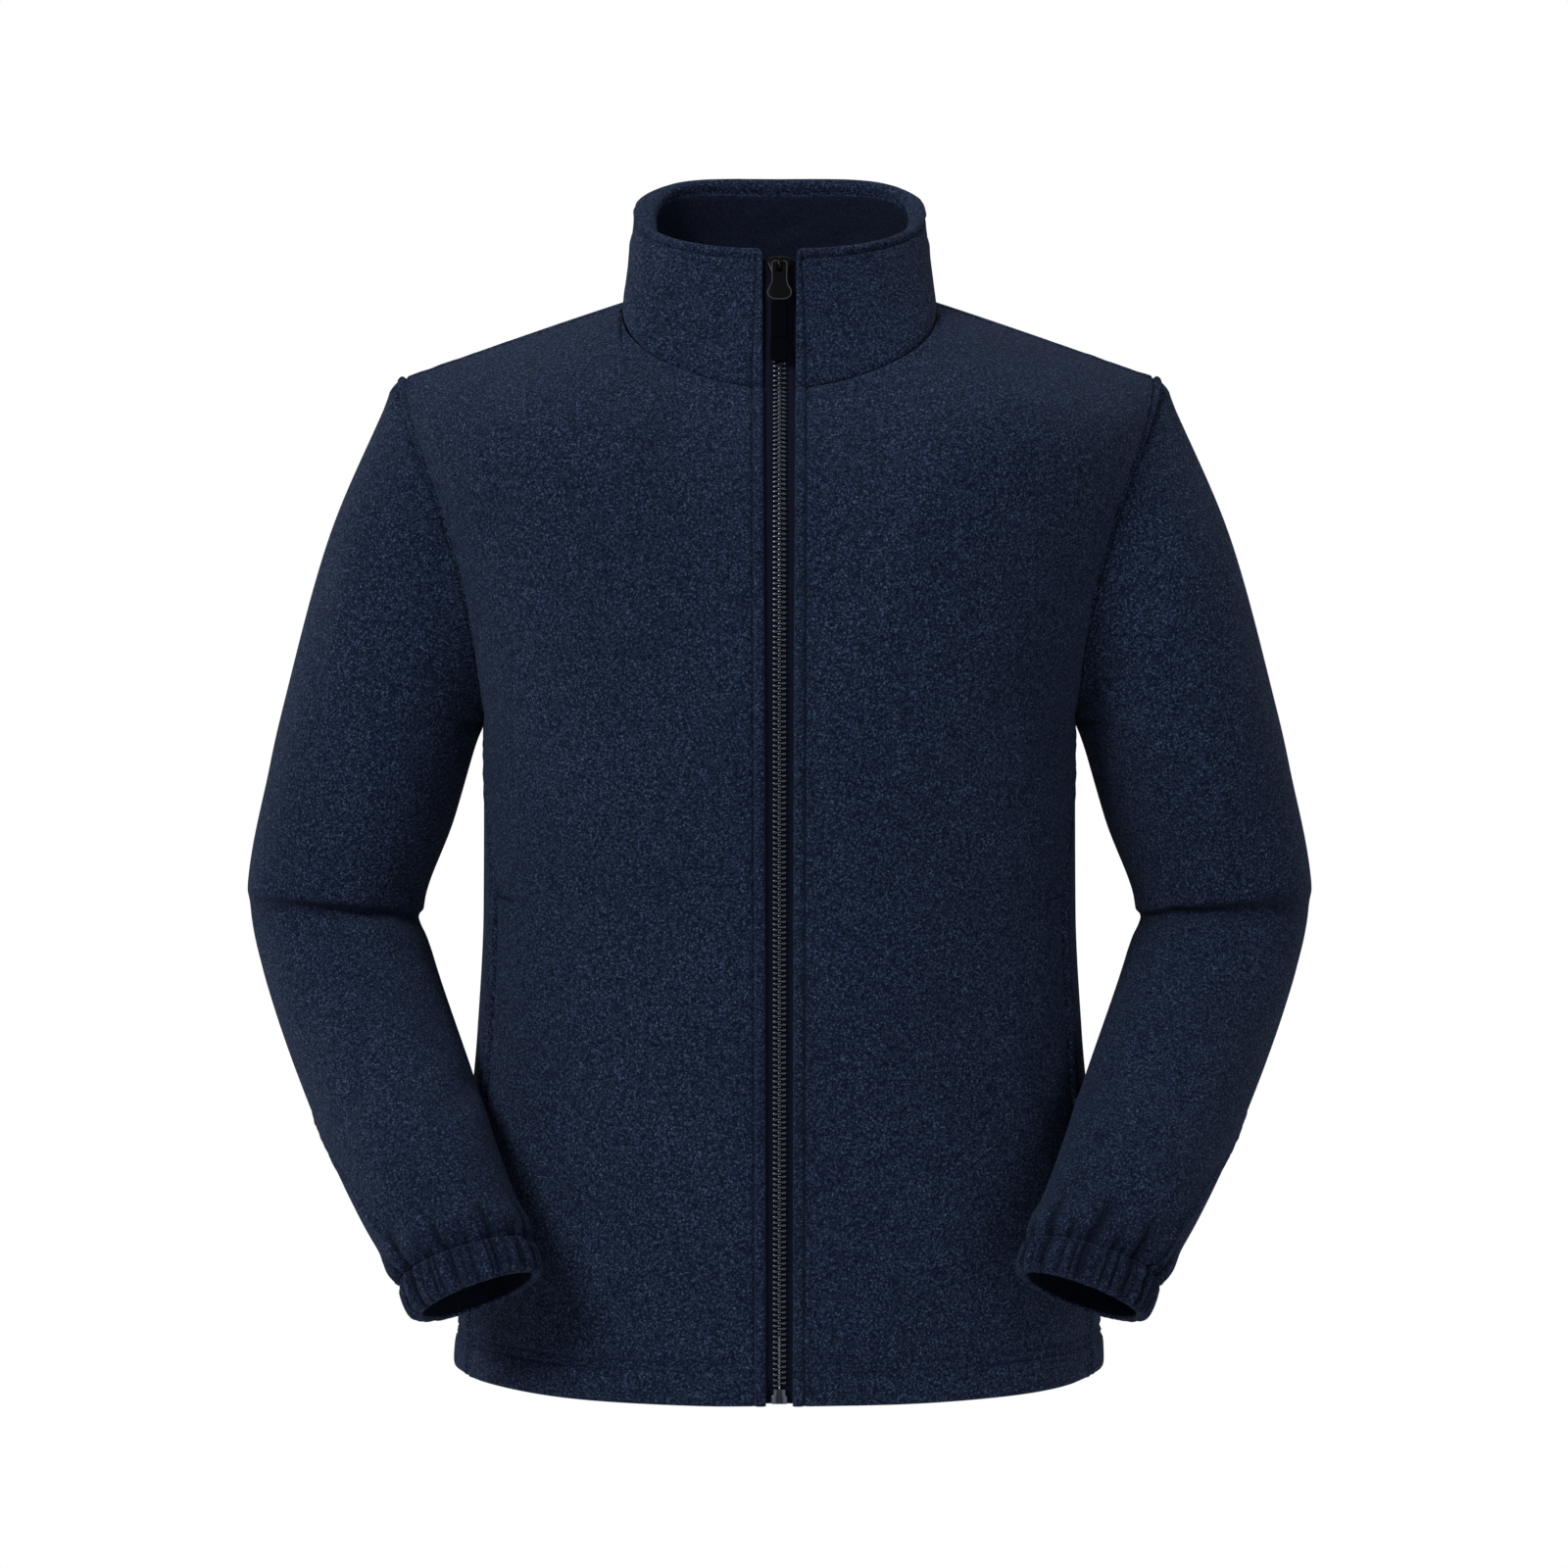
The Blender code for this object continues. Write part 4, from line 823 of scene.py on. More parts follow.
def buildFronts():
    g = layPanel(-1)
    rows = g["points"].shape[0]
    turnedUp = (g["fromHem"] < panel["hemStitches"][1]) * (g["fromZip"] > 14 * mm)
    thickness = panel["cloth"] + panel["hemTurned"] * turnedUp
    underarm = int(np.argmin(np.abs(g["v"][:, -1] - 0.5)))
    for side, name in ((1, "front_left"), (-1, "front_right")):
        phase = 1.3 + side
        hemSewn, hemWave = hemRelief(g, phase)
        sewn = hemSewn + sideRelief(g, phase) + topRelief(g, phase) + zipRelief(g, phase) + pocketRelief(g)
        fade = easeBetween(g["fromZip"], 0.004, 0.030) * easeBetween(g["toSide"], 0.0, 0.012)
        worn = creases(g["points"][..., 0], g["points"][..., 2], frontCreases[side]) * fade
        worn += hemWave * easeBetween(g["fromZip"], 0.006, 0.030)
        outer, inner = clothBetween(g, sewn, worn, thickness)
        outer, inner = mirrored(outer, side), mirrored(inner, side)
        out = mirrored(g["out"], side)
        front = place(shell(name + ".cloth", outer, inner, materials["fleece"]), "jacket", "fleece", name)

        stitches = Sewing(name + ".stitches")
        column = nearestColumn(g, "fromZip", panel["zipStitch"])
        stitches.seam(outer[3:-1, column], out[3:-1, column])
        for at in panel["hemStitches"]:
            row = rowAt(g, "fromHem", at)
            stitches.seam(outer[row, 12:-2], out[row, 12:-2])
        column = columnBefore(g["toSide"][underarm + 20], panel["armStitch"])
        stitches.seam(outer[underarm:-4, column], out[underarm:-4, column])
        neckColumns = int(np.argmin(np.abs(g["u"][-1] - body["neckShare"])))
        row = rows - 1 - int(np.argmin(np.abs(g["toTop"][::-1, neckColumns + 20] - panel["shoulderStitch"])))
        stitches.seam(outer[row, neckColumns + 2:-6], out[row, neckColumns + 2:-6])
        z = g["points"][:, -1, 2]
        span = np.flatnonzero((z > panel["pocketFoot"]) & (z < panel["pocketTop"]))
        column = columnBefore(g["toSide"][span[0]], panel["pocketStitch"])
        stitches.seam(outer[span, column], out[span, column])
        top = span[-1]
        first = int(np.argmin(np.abs(g["toSide"][top] - panel["pocketStitch"] - panel["bartack"])))
        for lift in (-0.5 * mm, 0.5 * mm):  # the bartack is two close rows of short stitches
            line = outer[top, first:column + 1] + np.array([0, 0, lift])
            stitches.seam(line, out[top, first:column + 1], dict(length=1.3 * mm, gap=0.1 * mm), 1.5)
        stitches.sew()


def buildBack():
    half = layPanel(1)
    flip = np.array([-1.0, 1.0, 1.0])
    g = {}
    for key, values in half.items():
        turn = flip if key in ("points", "out") else (-1.0 if key == "fromZip" else 1.0)
        g[key] = np.concatenate([(values * turn)[:, :0:-1], values], axis=1)
    phase = 4.1
    hemSewn, hemWave = hemRelief(g, phase)
    sewn = hemSewn + sideRelief(g, phase) + topRelief(g, phase)
    worn = creases(g["points"][..., 0], g["points"][..., 2], backCreases)
    worn *= easeBetween(g["toSide"], 0.0, 0.012)
    thickness = panel["cloth"] + panel["hemTurned"] * (g["fromHem"] < panel["hemStitches"][1])
    outer, inner = clothBetween(g, sewn, worn + hemWave, thickness)
    back = place(shell("back.cloth", outer, inner, materials["fleece"]), "jacket", "fleece", "back")

    stitches = Sewing("back.stitches")
    for at in panel["hemStitches"]:
        row = rowAt(g, "fromHem", at)
        stitches.seam(outer[row, 2:-2], g["out"][row, 2:-2])
    underarm = int(np.argmin(np.abs(g["v"][:, -1] - 0.5)))
    for ordered in (slice(None), slice(None, None, -1)):
        edge, out, toSide = outer[:, ordered], g["out"][:, ordered], g["toSide"][:, ordered]
        column = columnBefore(toSide[underarm + 20], panel["armStitch"], 60)
        stitches.seam(edge[underarm:-4, column], out[underarm:-4, column])
    stitches.sew()


buildFronts()
buildBack()
print("fronts and back made")


# pocket bags, flat behind the fronts

bag = dict(behind=3.4 * mm, cloth=1.1 * mm, low=-0.612, high=-0.358, inner=0.52, outer=0.965)


def buildPocketBags():
    low = 0.5 * (bag["low"] - body["hemZ"]) / (body["underarmZ"] - body["hemZ"])
    high = 0.5 * (bag["high"] - body["hemZ"]) / (body["underarmZ"] - body["hemZ"])
    v, u = np.meshgrid(np.linspace(low, high, 64), np.linspace(bag["inner"], bag["outer"], 30), indexing="ij")
    points = halfPanel(u, v, -1)
    out = normalsOf(points, False, np.array([0.0, 0.0, -0.35]))
    slack = 0.0008 * np.sin(u * 31 + v * 44) * np.sin(np.pi * (v - low) / (high - low))
    outer = points - out * (bag["behind"] - slack * 0.4)[..., None]
    inner = outer - out * bag["cloth"]
    for side, name in ((1, "pocket_bag_left"), (-1, "pocket_bag_right")):
        made = shell(name + ".cloth", mirrored(outer, side), mirrored(inner, side), materials["fleece"])
        place(made, "jacket", "fleece", name)


buildPocketBags()


# collar

collarSewing = dict(turned=11.0 * mm, rimStitch=7.5 * mm, endStitch=7.0 * mm)
collarEdges = dict(
    end=[d * mm for d in (0, 0.35, 1.0, 2.2, 4.0, 5.4, 6.2, 6.7, 7.0, 7.3, 7.8, 8.6, 10.0, 12.0)],
    rim=[d * mm for d in (0, 0.25, 0.7, 1.4, 2.4, 4.0, 5.6, 6.7, 7.2, 7.5, 7.8, 8.3, 9.4, 11.0, 13.0)],
    base=[d * mm for d in (0, 0.4, 1.0, 1.9, 3.2, 5.0)])

# the rim is a padded roll, thickest at the sides and fuller on the wearer's right
collarPad = dict(
    most=6.5 * mm, roll=4.2 * mm,
    up=table("toRim share", [
        (0.0, 0.95), (0.005, 1.0), (0.010, 0.95), (0.020, 0.6), (0.036, 0.12), (0.050, 0.0)]),
    around=table("c share", [
        (-1.0, 0.0), (-0.9, 0.35), (-0.72, 1.0), (-0.5, 1.3), (-0.25, 0.95), (0.0, 0.6), (0.25, 0.65),
        (0.5, 0.75), (0.72, 0.6), (0.9, 0.2), (1.0, 0.0)]))

# along the collar from the back's middle, and up it
collarCreases = table("x1 z1 x2 z2 width depth", [
    (0.105, 0.052, 0.160, 0.046, 0.0042, 0.0016), (0.088, 0.020, 0.118, 0.030, 0.0060, 0.0014),
    (-0.150, 0.012, -0.085, 0.036, 0.0050, 0.0026), (-0.165, 0.046, -0.110, 0.056, 0.0045, 0.0020),
    (-0.040, 0.040, 0.030, 0.030, 0.0060, 0.0010), (0.040, 0.014, 0.075, 0.034, 0.0060, 0.0009)])
collarInside = table("x1 z1 x2 z2 width depth", [
    (-0.060, 0.052, -0.020, 0.034, 0.0045, 0.0016), (-0.010, 0.048, 0.022, 0.056, 0.0040, 0.0014),
    (0.020, 0.036, 0.066, 0.048, 0.0050, 0.0015), (-0.050, 0.026, 0.010, 0.022, 0.0060, 0.0012),
    (0.070, 0.030, 0.110, 0.046, 0.0050, 0.0012), (-0.110, 0.040, -0.075, 0.030, 0.0050, 0.0012)])


def buildCollar():
    columns = dict(marks=[-1, -0.5, 0, 0.5, 1], near=collarEdges["end"], far=collarEdges["end"])
    rows = dict(marks=[0, 1], near=collarEdges["base"], far=collarEdges["rim"])
    points, c, _ = layGrid(collarAt, columns, rows, 3.0 * mm)
    out = normalsOf(points, False, np.array([0.0, 0.01, 0.0]))
    along, up = runAlong(points, 1), runAlong(points, 0)
    toEnd = np.minimum(along, along[:, -1:] - along)
    toRim = up[-1:] - up
    middle = along - along[:, -1:] / 2
    s = collarSewing
    thick = collarForm["thick"] + collarPad["most"] * (
        lookUp(collarPad["up"], "share", toRim) * lookUp(collarPad["around"], "share", c[0]))
    rollOut = np.minimum(collarPad["roll"], thick / 2)
    rim = rolledEdge(toRim, 4.6 * mm, rollOut)
    ends = rolledEdge(toEnd, 2.6 * mm, 2.4 * mm)
    ease = easeBetween(toEnd, 0.002, 0.014) * easeBetween(toRim, 0.004, 0.014)
    sewn = rim + ends - np.exp(-up / (1.6 * mm)) * 1.8 * mm
    sewn += groove(toRim, s["rimStitch"], 1.15 * mm, 1.6 * mm) * (toEnd > s["endStitch"])
    sewn += groove(toEnd, s["endStitch"], 1.15 * mm, 1.6 * mm) * (toRim > s["rimStitch"])
    sewn += raisedBand(np.minimum(toRim / s["rimStitch"], toEnd / s["endStitch"]), 0, 1, 0.9 * mm)
    sewn += (puckers(toRim, s["rimStitch"], along, 0.4, 0.00040)
             + puckers(toEnd, s["endStitch"], up, 2.0, 0.00036))
    outward = sewn + creases(middle, up, collarCreases) * ease
    inward = (rolledEdge(toRim, 6.0 * mm, thick - rollOut - 0.3 * mm) + ends * 0.8
              + groove(toRim, s["turned"], 1.4 * mm, 2.6 * mm)
              + puckers(toRim, s["rimStitch"], along, 3.1, 0.00045)
              + creases(middle, up, collarInside) * ease)
    outer = points + out * outward[..., None]
    inner = points - out * (thick + inward)[..., None]
    turned = int((toRim.mean(axis=1) < s["turned"]).sum())
    cloth = shell("collar.cloth", outer, inner, materials["fleece"], inside=materials["inside"],
                  turned=turned)
    collar = place(cloth, "jacket", "fleece", "collar")

    stitches = Sewing("collar.stitches")
    rows, columns = toRim.shape
    row = rows - 1 - int(np.argmin(np.abs(collarEdges["rim"] - np.array(s["rimStitch"]))))
    column = int(np.argmin(np.abs(collarEdges["end"] - np.array(s["endStitch"]))))
    stitches.seam(outer[row, column:columns - column], out[row, column:columns - column])
    stitches.seam(inner[row, column:columns - column], -out[row, column:columns - column])
    for k in (column, columns - 1 - column):
        stitches.seam(outer[2:row, k], out[2:row, k])
    stitches.sew()


buildCollar()
print("collar made")


# sleeves and cuffs; the gathers of the elastic run a little way up the sleeve

sleeve = dict(cloth=2.5 * mm, columns=240, step=5.0 * mm, foldStep=1.4 * mm, cuffStep=1.7 * mm, pinches=38)

# the seam starts under the arm and winds round the back to the front of the wrist
sleeveSeam = table("share turn", [
    (0.0, 200), (0.3, 228), (0.6, 315), (0.8, 372), (0.91, 393), (1.0, 405), (1.03, 411), (1.06, 418)])

# one row for each gather round the cuff: its place, depth and length up the sleeve
gathers = table("turn depth length width", [
    (8, 2.4, 20, 2.6), (27, 3.8, 34, 3.2), (46, 2.2, 14, 2.4), (66, 4.2, 38, 3.4), (84, 2.6, 22, 2.6),
    (103, 4.6, 44, 3.6), (124, 2.8, 18, 2.6), (143, 4.0, 36, 3.4), (166, 2.3, 16, 2.5), (186, 3.4, 26, 3.0),
    (207, 2.7, 34, 3.2), (226, 3.8, 28, 3.1), (248, 2.4, 18, 2.5), (268, 3.7, 40, 3.4), (287, 3.0, 22, 2.8),
    (308, 4.4, 36, 3.5), (328, 2.5, 20, 2.6), (345, 3.6, 30, 3.1)])

# troughs on the sleeves: degrees round and metres down from the armhole
sleeveCreases = {
    1: table("x1 z1 x2 z2 width depth", [
        (150, 0.020, 105, 0.085, 0.0090, 0.0022), (175, 0.045, 125, 0.120, 0.0080, 0.0017),
        (35, 0.030, 70, 0.120, 0.0120, 0.0012), (210, 0.030, 250, 0.100, 0.0090, 0.0022),
        (170, 0.215, 110, 0.262, 0.0085, 0.0018), (60, 0.180, 100, 0.250, 0.0120, 0.0012),
        (185, 0.405, 130, 0.440, 0.0090, 0.0022), (120, 0.400, 60, 0.445, 0.0100, 0.0014),
        (30, 0.470, 75, 0.560, 0.0110, 0.0013), (330, 0.540, 340, 0.640, 0.0060, 0.0020),
        (290, 0.240, 250, 0.330, 0.0110, 0.0018), (240, 0.430, 290, 0.520, 0.0110, 0.0016)]),
    -1: table("x1 z1 x2 z2 width depth", [
        (155, 0.025, 112, 0.078, 0.0080, 0.0020), (178, 0.050, 118, 0.135, 0.0090, 0.0018),
        (25, 0.045, 60, 0.140, 0.0120, 0.0011), (205, 0.040, 255, 0.110, 0.0090, 0.0020),
        (165, 0.205, 105, 0.270, 0.0090, 0.0016), (75, 0.190, 110, 0.240, 0.0110, 0.0012),
        (180, 0.410, 118, 0.452, 0.0100, 0.0026), (100, 0.398, 45, 0.430, 0.0090, 0.0013),
        (45, 0.480, 80, 0.575, 0.0120, 0.0012), (326, 0.550, 338, 0.642, 0.0060, 0.0022),
        (280, 0.230, 245, 0.320, 0.0110, 0.0018), (250, 0.420, 300, 0.500, 0.0110, 0.0016)])}


# the shade under the fold of the elbow, by the distance past it
foldShade = table("along share", [
    (-0.010, 0.0), (-0.005, 0.5), (-0.002, 1.0), (0.003, 0.9), (0.008, 0.5), (0.016, 0.15), (0.026, 0.0)])


def gatherAt(phi, up, side):  # up is metres above the cuff's seam; inside the cuff it is below 0
    total = np.zeros(np.broadcast(phi, up).shape)
    depths = np.roll(gathers["depth"], 0 if side > 0 else 5) * mm
    lengths = np.roll(gathers["length"], 0 if side > 0 else 5) * mm
    turns, widths = np.radians(gathers["turn"]), gathers["width"] * mm
    for turn, width, depth, length in zip(turns, widths, depths, lengths):
        fade = 1 - easeBetween(up, 0.0, length)
        off = wristTurn(phi, turn) / (0.85 * width * (1 + 0.35 * (1 - fade)))
        total -= depth * fade * np.exp(-np.abs(off) ** 1.4)
    return total


def wristTurn(phi, turn):  # metres round the wrist from one place
    return ((phi - turn + np.pi) % (2 * np.pi) - np.pi) * 0.041


def pinchAt(phi, up, side):  # narrow pinches of the elastic, which cross the cuff's seam
    total = np.zeros(np.broadcast(phi, up).shape)
    for k in range(sleeve["pinches"]):
        turn = 2 * math.pi * k / sleeve["pinches"] + 0.05 * math.sin(2.3 * k + side)
        depth = (2.5 + 0.9 * math.sin(1.7 * k + side)) * mm
        reach = (8 + 6 * math.sin(2.9 * k + 2 * side)) * mm
        fade = 1 - easeBetween(up, 0.2 * reach, reach)
        total -= depth * fade * np.exp(-np.abs(wristTurn(phi, turn) / (1.2 * mm)) ** 1.4)
    return total


def seamRelief(off):  # the allowance lies to one side of the stitching and stands up
    return groove(off, 0.0, 1.5 * mm, 1.6 * mm) + groove(off, 3.0 * mm, 1.9 * mm, -1.3 * mm) + groove(
        off, -4.5 * mm, 2.0 * mm, -0.5 * mm)


def buildSleeves():
    s = sleeve
    phi = np.arange(s["columns"]) * 2 * np.pi / s["columns"]
    along = [0.0, 0.4 * mm, 1.0 * mm, 1.9 * mm, 3.0 * mm, 4.6 * mm, 6.6 * mm]
    fold = elbowPlace * sleeveLength
    for high, spacing in ((fold - 0.022, s["step"]), (fold + 0.024, s["foldStep"]),
                          (sleeveLength - 0.046, s["step"]), (sleeveLength, s["cuffStep"])):
        count = max(1, int(round((high - along[-1]) / spacing)))
        along += list(np.linspace(along[-1], high, count + 1)[1:])
    along = np.array(along)
    points = sleeveGrid(phi, along / sleeveLength)
    middle = points.mean(axis=1, keepdims=True)
    out = normalsOf(points, True, middle)
    fromArm, toCuff = along[:, None], (sleeveLength - along)[:, None]
    grid = np.broadcast_to(phi, points.shape[:2])
    around = 0.052
    for side, name in ((1, "sleeve_left"), (-1, "sleeve_right")):
        seamTurn = np.radians(lookUp(sleeveSeam, "turn", along / sleeveLength))[:, None]
        seamOff = ((grid - seamTurn + np.pi) % (2 * np.pi) - np.pi) * around
        sewn = -np.exp(-fromArm / (1.7 * mm)) * 1.6 * mm + groove(fromArm, 4.5 * mm, 2.4 * mm, -0.8 * mm)
        sewn = sewn - np.exp(-toCuff / (1.6 * mm)) * 0.8 * mm
        sewn = sewn + seamRelief(seamOff)
        sewn = sewn + puckers(seamOff, 0.0, fromArm, 1.0 + side, 0.00045)
        sewn = sewn + puckers(fromArm, 3 * mm, grid * 0.07, 2.0 + side, 0.00045, 0.0080)
        worn = creases(grid * around, fromArm, dict(
            sleeveCreases[side], x1=np.radians(sleeveCreases[side]["x1"]) * around,
            x2=np.radians(sleeveCreases[side]["x2"]) * around), wrapAt=2 * np.pi * around)
        gathered = gatherAt(grid, toCuff, side) + pinchAt(grid, toCuff, side)
        # painted shade: the gathers and the shade under the elbow's fold, darkened into the sleeve's colour
        crease = -gathered / (2.3 * mm) + lookUp(foldShade, "share", fromArm - fold) * foldWeight(grid)
        worn = worn + gathered + 0.0026 * np.exp(-((toCuff - 0.012) / 0.010) ** 2)
        outer = points + out * (sewn + worn)[..., None]
        inner = points + out * (worn - s["cloth"])[..., None]
        made = shell(name + ".cloth", mirrored(outer, side), mirrored(inner, side), materials["fleece"],
                     wrap=True, inside=materials["inside"], crease=crease)
        place(made, "jacket", "fleece", name)
        stitches = Sewing(name + ".stitches")
        row = len(along) - 3
        ring = np.concatenate([outer[row], outer[row, :1]])
        stitches.seam(mirrored(ring, side), mirrored(np.concatenate([out[row], out[row, :1]]), side))
        stitches.sew()


cuff = dict(thick=6.6 * mm, columns=384, topStitch=2.6 * mm, rows=30, turned=4)


def buildCuffs():
    s = cuff
    phi = np.arange(s["columns"]) * 2 * np.pi / s["columns"]
    v = (1 - np.cos(np.linspace(0, np.pi, s["rows"]))) / 2 * 0.55 + np.linspace(0, 1, s["rows"]) * 0.45
    points = cuffGrid(phi, v)
    middle = points.mean(axis=1, keepdims=True)
    square = unit(points - middle)
    down = runAlong(points, 0)
    toRim = down[-1:] - down
    grid = np.broadcast_to(phi, points.shape[:2])
    half = s["thick"] / 2
    for side, name in ((1, "cuff_left"), (-1, "cuff_right")):
        waves = 0.6 * gatherAt(grid, np.zeros_like(grid), side) + pinchAt(grid, np.zeros_like(grid), side)
        seamTurn = np.radians(lookUp(sleeveSeam, "turn", 1 + down.mean(axis=1) / 0.33))[:, None]
        belly = easeBetween(down, -3 * mm, 4 * mm) * (0.5 + 0.5 * easeBetween(toRim, 0.0, 7 * mm))
        roll = rolledEdge(toRim, half, half - 0.1 * mm)
        outward = (1.6 * mm + waves * 0.9) * belly - np.exp(-down / (1.5 * mm)) * 1.2 * mm + roll
        outward += groove(down, s["topStitch"], 1.1 * mm, 0.7 * mm)
        outward += 0.00050 * uneven(grid * 0.04, 1.0 + side) * belly
        outward += seamRelief(wristTurn(grid, seamTurn)) * belly * 0.8
        inward = roll + 0.22 * waves * easeBetween(toRim, 0.0, 5 * mm)
        outer = points + square * outward[..., None]
        inner = points - square * (s["thick"] + inward)[..., None]
        # painted shade: the cuff's gathers are darkened into its colour
        made = shell(name + ".cloth", mirrored(outer, side), mirrored(inner, side), materials["fleece"],
                     wrap=True, inside=materials["inside"], turned=s["turned"],
                     crease=-waves * belly / (2.6 * mm))
        place(made, "jacket", "fleece", name)
        stitches = Sewing(name + ".stitches")
        row = int(np.argmin(np.abs(down.mean(axis=1) - s["topStitch"])))
        ring = np.concatenate([outer[row], outer[row, :1]])
        stitches.seam(mirrored(ring, side), mirrored(np.concatenate([square[row], square[row, :1]]), side))
        stitches.sew()


buildSleeves()
buildCuffs()
print("sleeves and cuffs made")


# zip: a line down the middle of the front, from which each of its pieces is set out

zipper = dict(
    tapeDepth=2.9 * mm, tapeCloth=0.9 * mm, tapeUnder=8.0 * mm, chainFront=0.2 * mm, chainBack=2.5 * mm,
    pitch=1.62 * mm, toothTall=1.80 * mm, sliderZ=0.0108, sliderHalf=6.2 * mm, boxTall=9.0 * mm,
    cord=0.8 * mm)


def zipLine():
    v = np.linspace(0, 1, 301)
    lower = halfPanel(np.zeros_like(v), v, -1)
    beside = halfPanel(np.full_like(v, 1e-4), v, -1)
    along = np.gradient(lower, axis=0)
    lowerOut = np.cross(beside - lower, along)
    h = np.linspace(0.03, 0.982, 60)
    upper = collarAt(np.ones_like(h), h)
    lean = unit(upper[-1] - upper[0])
    points = np.concatenate([lower, upper])
    out = np.concatenate([lowerOut, np.tile([0.0, -lean[2], lean[1]], (len(h), 1))])
    out[:, 0] = 0
    out = unit(out)
    out *= np.where(out[:, 1:2] > 0, -1, 1)
    points[0] += unit(points[1] - points[0]) * 1.5 * mm
    for _ in range(3):  # eased where the neckline bends it
        out[1:-1] = unit(out[:-2] + 2 * out[1:-1] + out[2:])
    return points, out, len(v)


line, lineOut, bodyRows = zipLine()
lineRun = runAlong(line * np.array([0.0, 1.0, 1.0]), 0)


def onLine(run, values):
    return np.stack([np.interp(run, lineRun, values[:, k]) for k in range(3)], axis=-1)


def runAtZ(z):
    return float(np.interp(z, line[:, 2], lineRun))


def zipPoint(run, x, depth):
    spots = onLine(run, line) - onLine(run, lineOut) * np.asarray(depth)[..., None]
    spots[..., 0] = x
    return spots


sliderLow = zipper["sliderZ"] - zipper["sliderHalf"]
boxTop = runAtZ(float(line[0, 2]) + zipper["boxTall"])


def buildTapes():
    z, gap = line[:, 2], line[:, 0]
    body = np.arange(len(line)) < bodyRows - 1
    wide = np.where(body, gap + zipper["tapeUnder"], gap + 0.6 * mm)
    parted = 2.0 * mm * easeBetween(z, sliderLow - 0.014, sliderLow - 0.004) + 0.15 * mm
    share = np.array([0.0, 0.07, 0.14, 0.24, 0.4, 0.6, 0.8, 1.0])
    swell = np.array([0.0, 0.9, 0.9, 0.0, 0.0, 0.0, 0.0, -0.1]) * zipper["cord"]
    x = parted[:, None] + (wide - parted)[:, None] * share
    ripple = 0.00012 * np.sin(lineRun / 0.0035)[:, None] * np.sin(np.pi * share)
    depth = zipper["tapeDepth"] - swell - ripple
    outer = line[:, None] - lineOut[:, None] * depth[..., None]
    outer[..., 0] = x
    inner = outer - lineOut[:, None] * zipper["tapeCloth"]
    for side, name in ((1, "zip_tape_left"), (-1, "zip_tape_right")):
        made = shell(name + ".cloth", mirrored(outer, side), mirrored(inner, side), materials["tape"])
        place(made, "jacket", "zip_tape", name)


# a tooth, drawn as its half outline from the tape to its head, in millimetres
toothOutline = table("x up", [
    (4.4, 0.40), (3.9, 0.86), (3.0, 1.02), (2.0, 0.92), (1.1, 0.62), (0.2, 0.56), (-0.6, 0.84), (-1.15, 0.76),
    (-1.4, 0.34)])


def toothMesh():
    half = np.stack([toothOutline["x"], toothOutline["up"] * zipper["toothTall"] / 2 / mm], axis=-1) * mm
    outline = np.concatenate([half, (half * np.array([1, -1]))[::-1]])
    front, back = -zipper["chainFront"], -zipper["chainBack"]
    centre = outline.mean(axis=0)
    layers = [(0.34, front), (0.70, front - 0.18 * mm), (0.92, front - 0.55 * mm), (1.0, front - 1.0 * mm),
              (0.86, back)]
    rings = [np.column_stack([centre + (outline - centre) * scale, np.full(len(outline), depth)])
             for scale, depth in layers]
    count = len(outline)
    faces = [tuple(face) for face in gridFaces(len(layers), count, True)]
    faces += [tuple(range(count))[::-1], tuple(range((len(layers) - 1) * count, len(layers) * count))]
    return np.concatenate(rings), faces


def buildTeeth():
    base, faces = toothMesh()
    low, high = boxTop + 1.2 * mm, runAtZ(sliderLow) - 0.5 * mm
    count = int((high - low) / zipper["pitch"])
    run = low + (np.arange(count) + 0.5) * (high - low) / count
    vertices, joined = [], []
    for index, spotRun in enumerate(run):
        side = 1 if index % 2 else -1
        out, spot = onLine(spotRun, lineOut), onLine(spotRun, line)
        up = np.array([0.0, -out[2], out[1]])
        up = up if up[2] > 0 else -up
        placed = spot + base[:, 1, None] * up + base[:, 2, None] * out
        placed[:, 0] = side * base[:, 0]
        first = len(vertices) * len(base)
        vertices.append(placed)
        joined += [tuple(i + first for i in face) for face in faces]
    teeth = makeObject("zip_chain.teeth", np.concatenate(vertices), joined, materials["teeth"])
    fixNormals(teeth)
    place(teeth, "jacket", "zip_plastic", "zip_chain")


def lofted(name, rings, material, rounding=0.0, segments=2, subdivide=0):
    rings = np.asarray(rings, float)
    layers, count = rings.shape[:2]
    faces = [tuple(face) for face in gridFaces(layers, count, True)]
    faces += [tuple(range(count))[::-1], tuple(range((layers - 1) * count, layers * count))]
    thing = makeObject(name, rings.reshape(-1, 3), faces, material)
    fixNormals(thing)
    if rounding:
        bevel = thing.modifiers.new("edges", "BEVEL")
        bevel.width, bevel.segments, bevel.limit_method = rounding, segments, "ANGLE"
        bevel.angle_limit, bevel.harden_normals = math.radians(35), True
    if subdivide:
        soft = thing.modifiers.new("round", "SUBSURF")
        soft.levels = soft.render_levels = subdivide
    return thing


forward = onLine(runAtZ(zipper["sliderZ"]), lineOut)
forward = forward / np.linalg.norm(forward)
upward = np.array([0.0, forward[2], -forward[1]])
sliderMiddle = onLine(runAtZ(zipper["sliderZ"]), line) * np.array([0.0, 1.0, 1.0])


def sliderPoint(x, up, front):
    x, up, front = np.broadcast_arrays(x, up, front)
    across = x[..., None] * np.array([1.0, 0, 0])
    return sliderMiddle + across + up[..., None] * upward + front[..., None] * forward


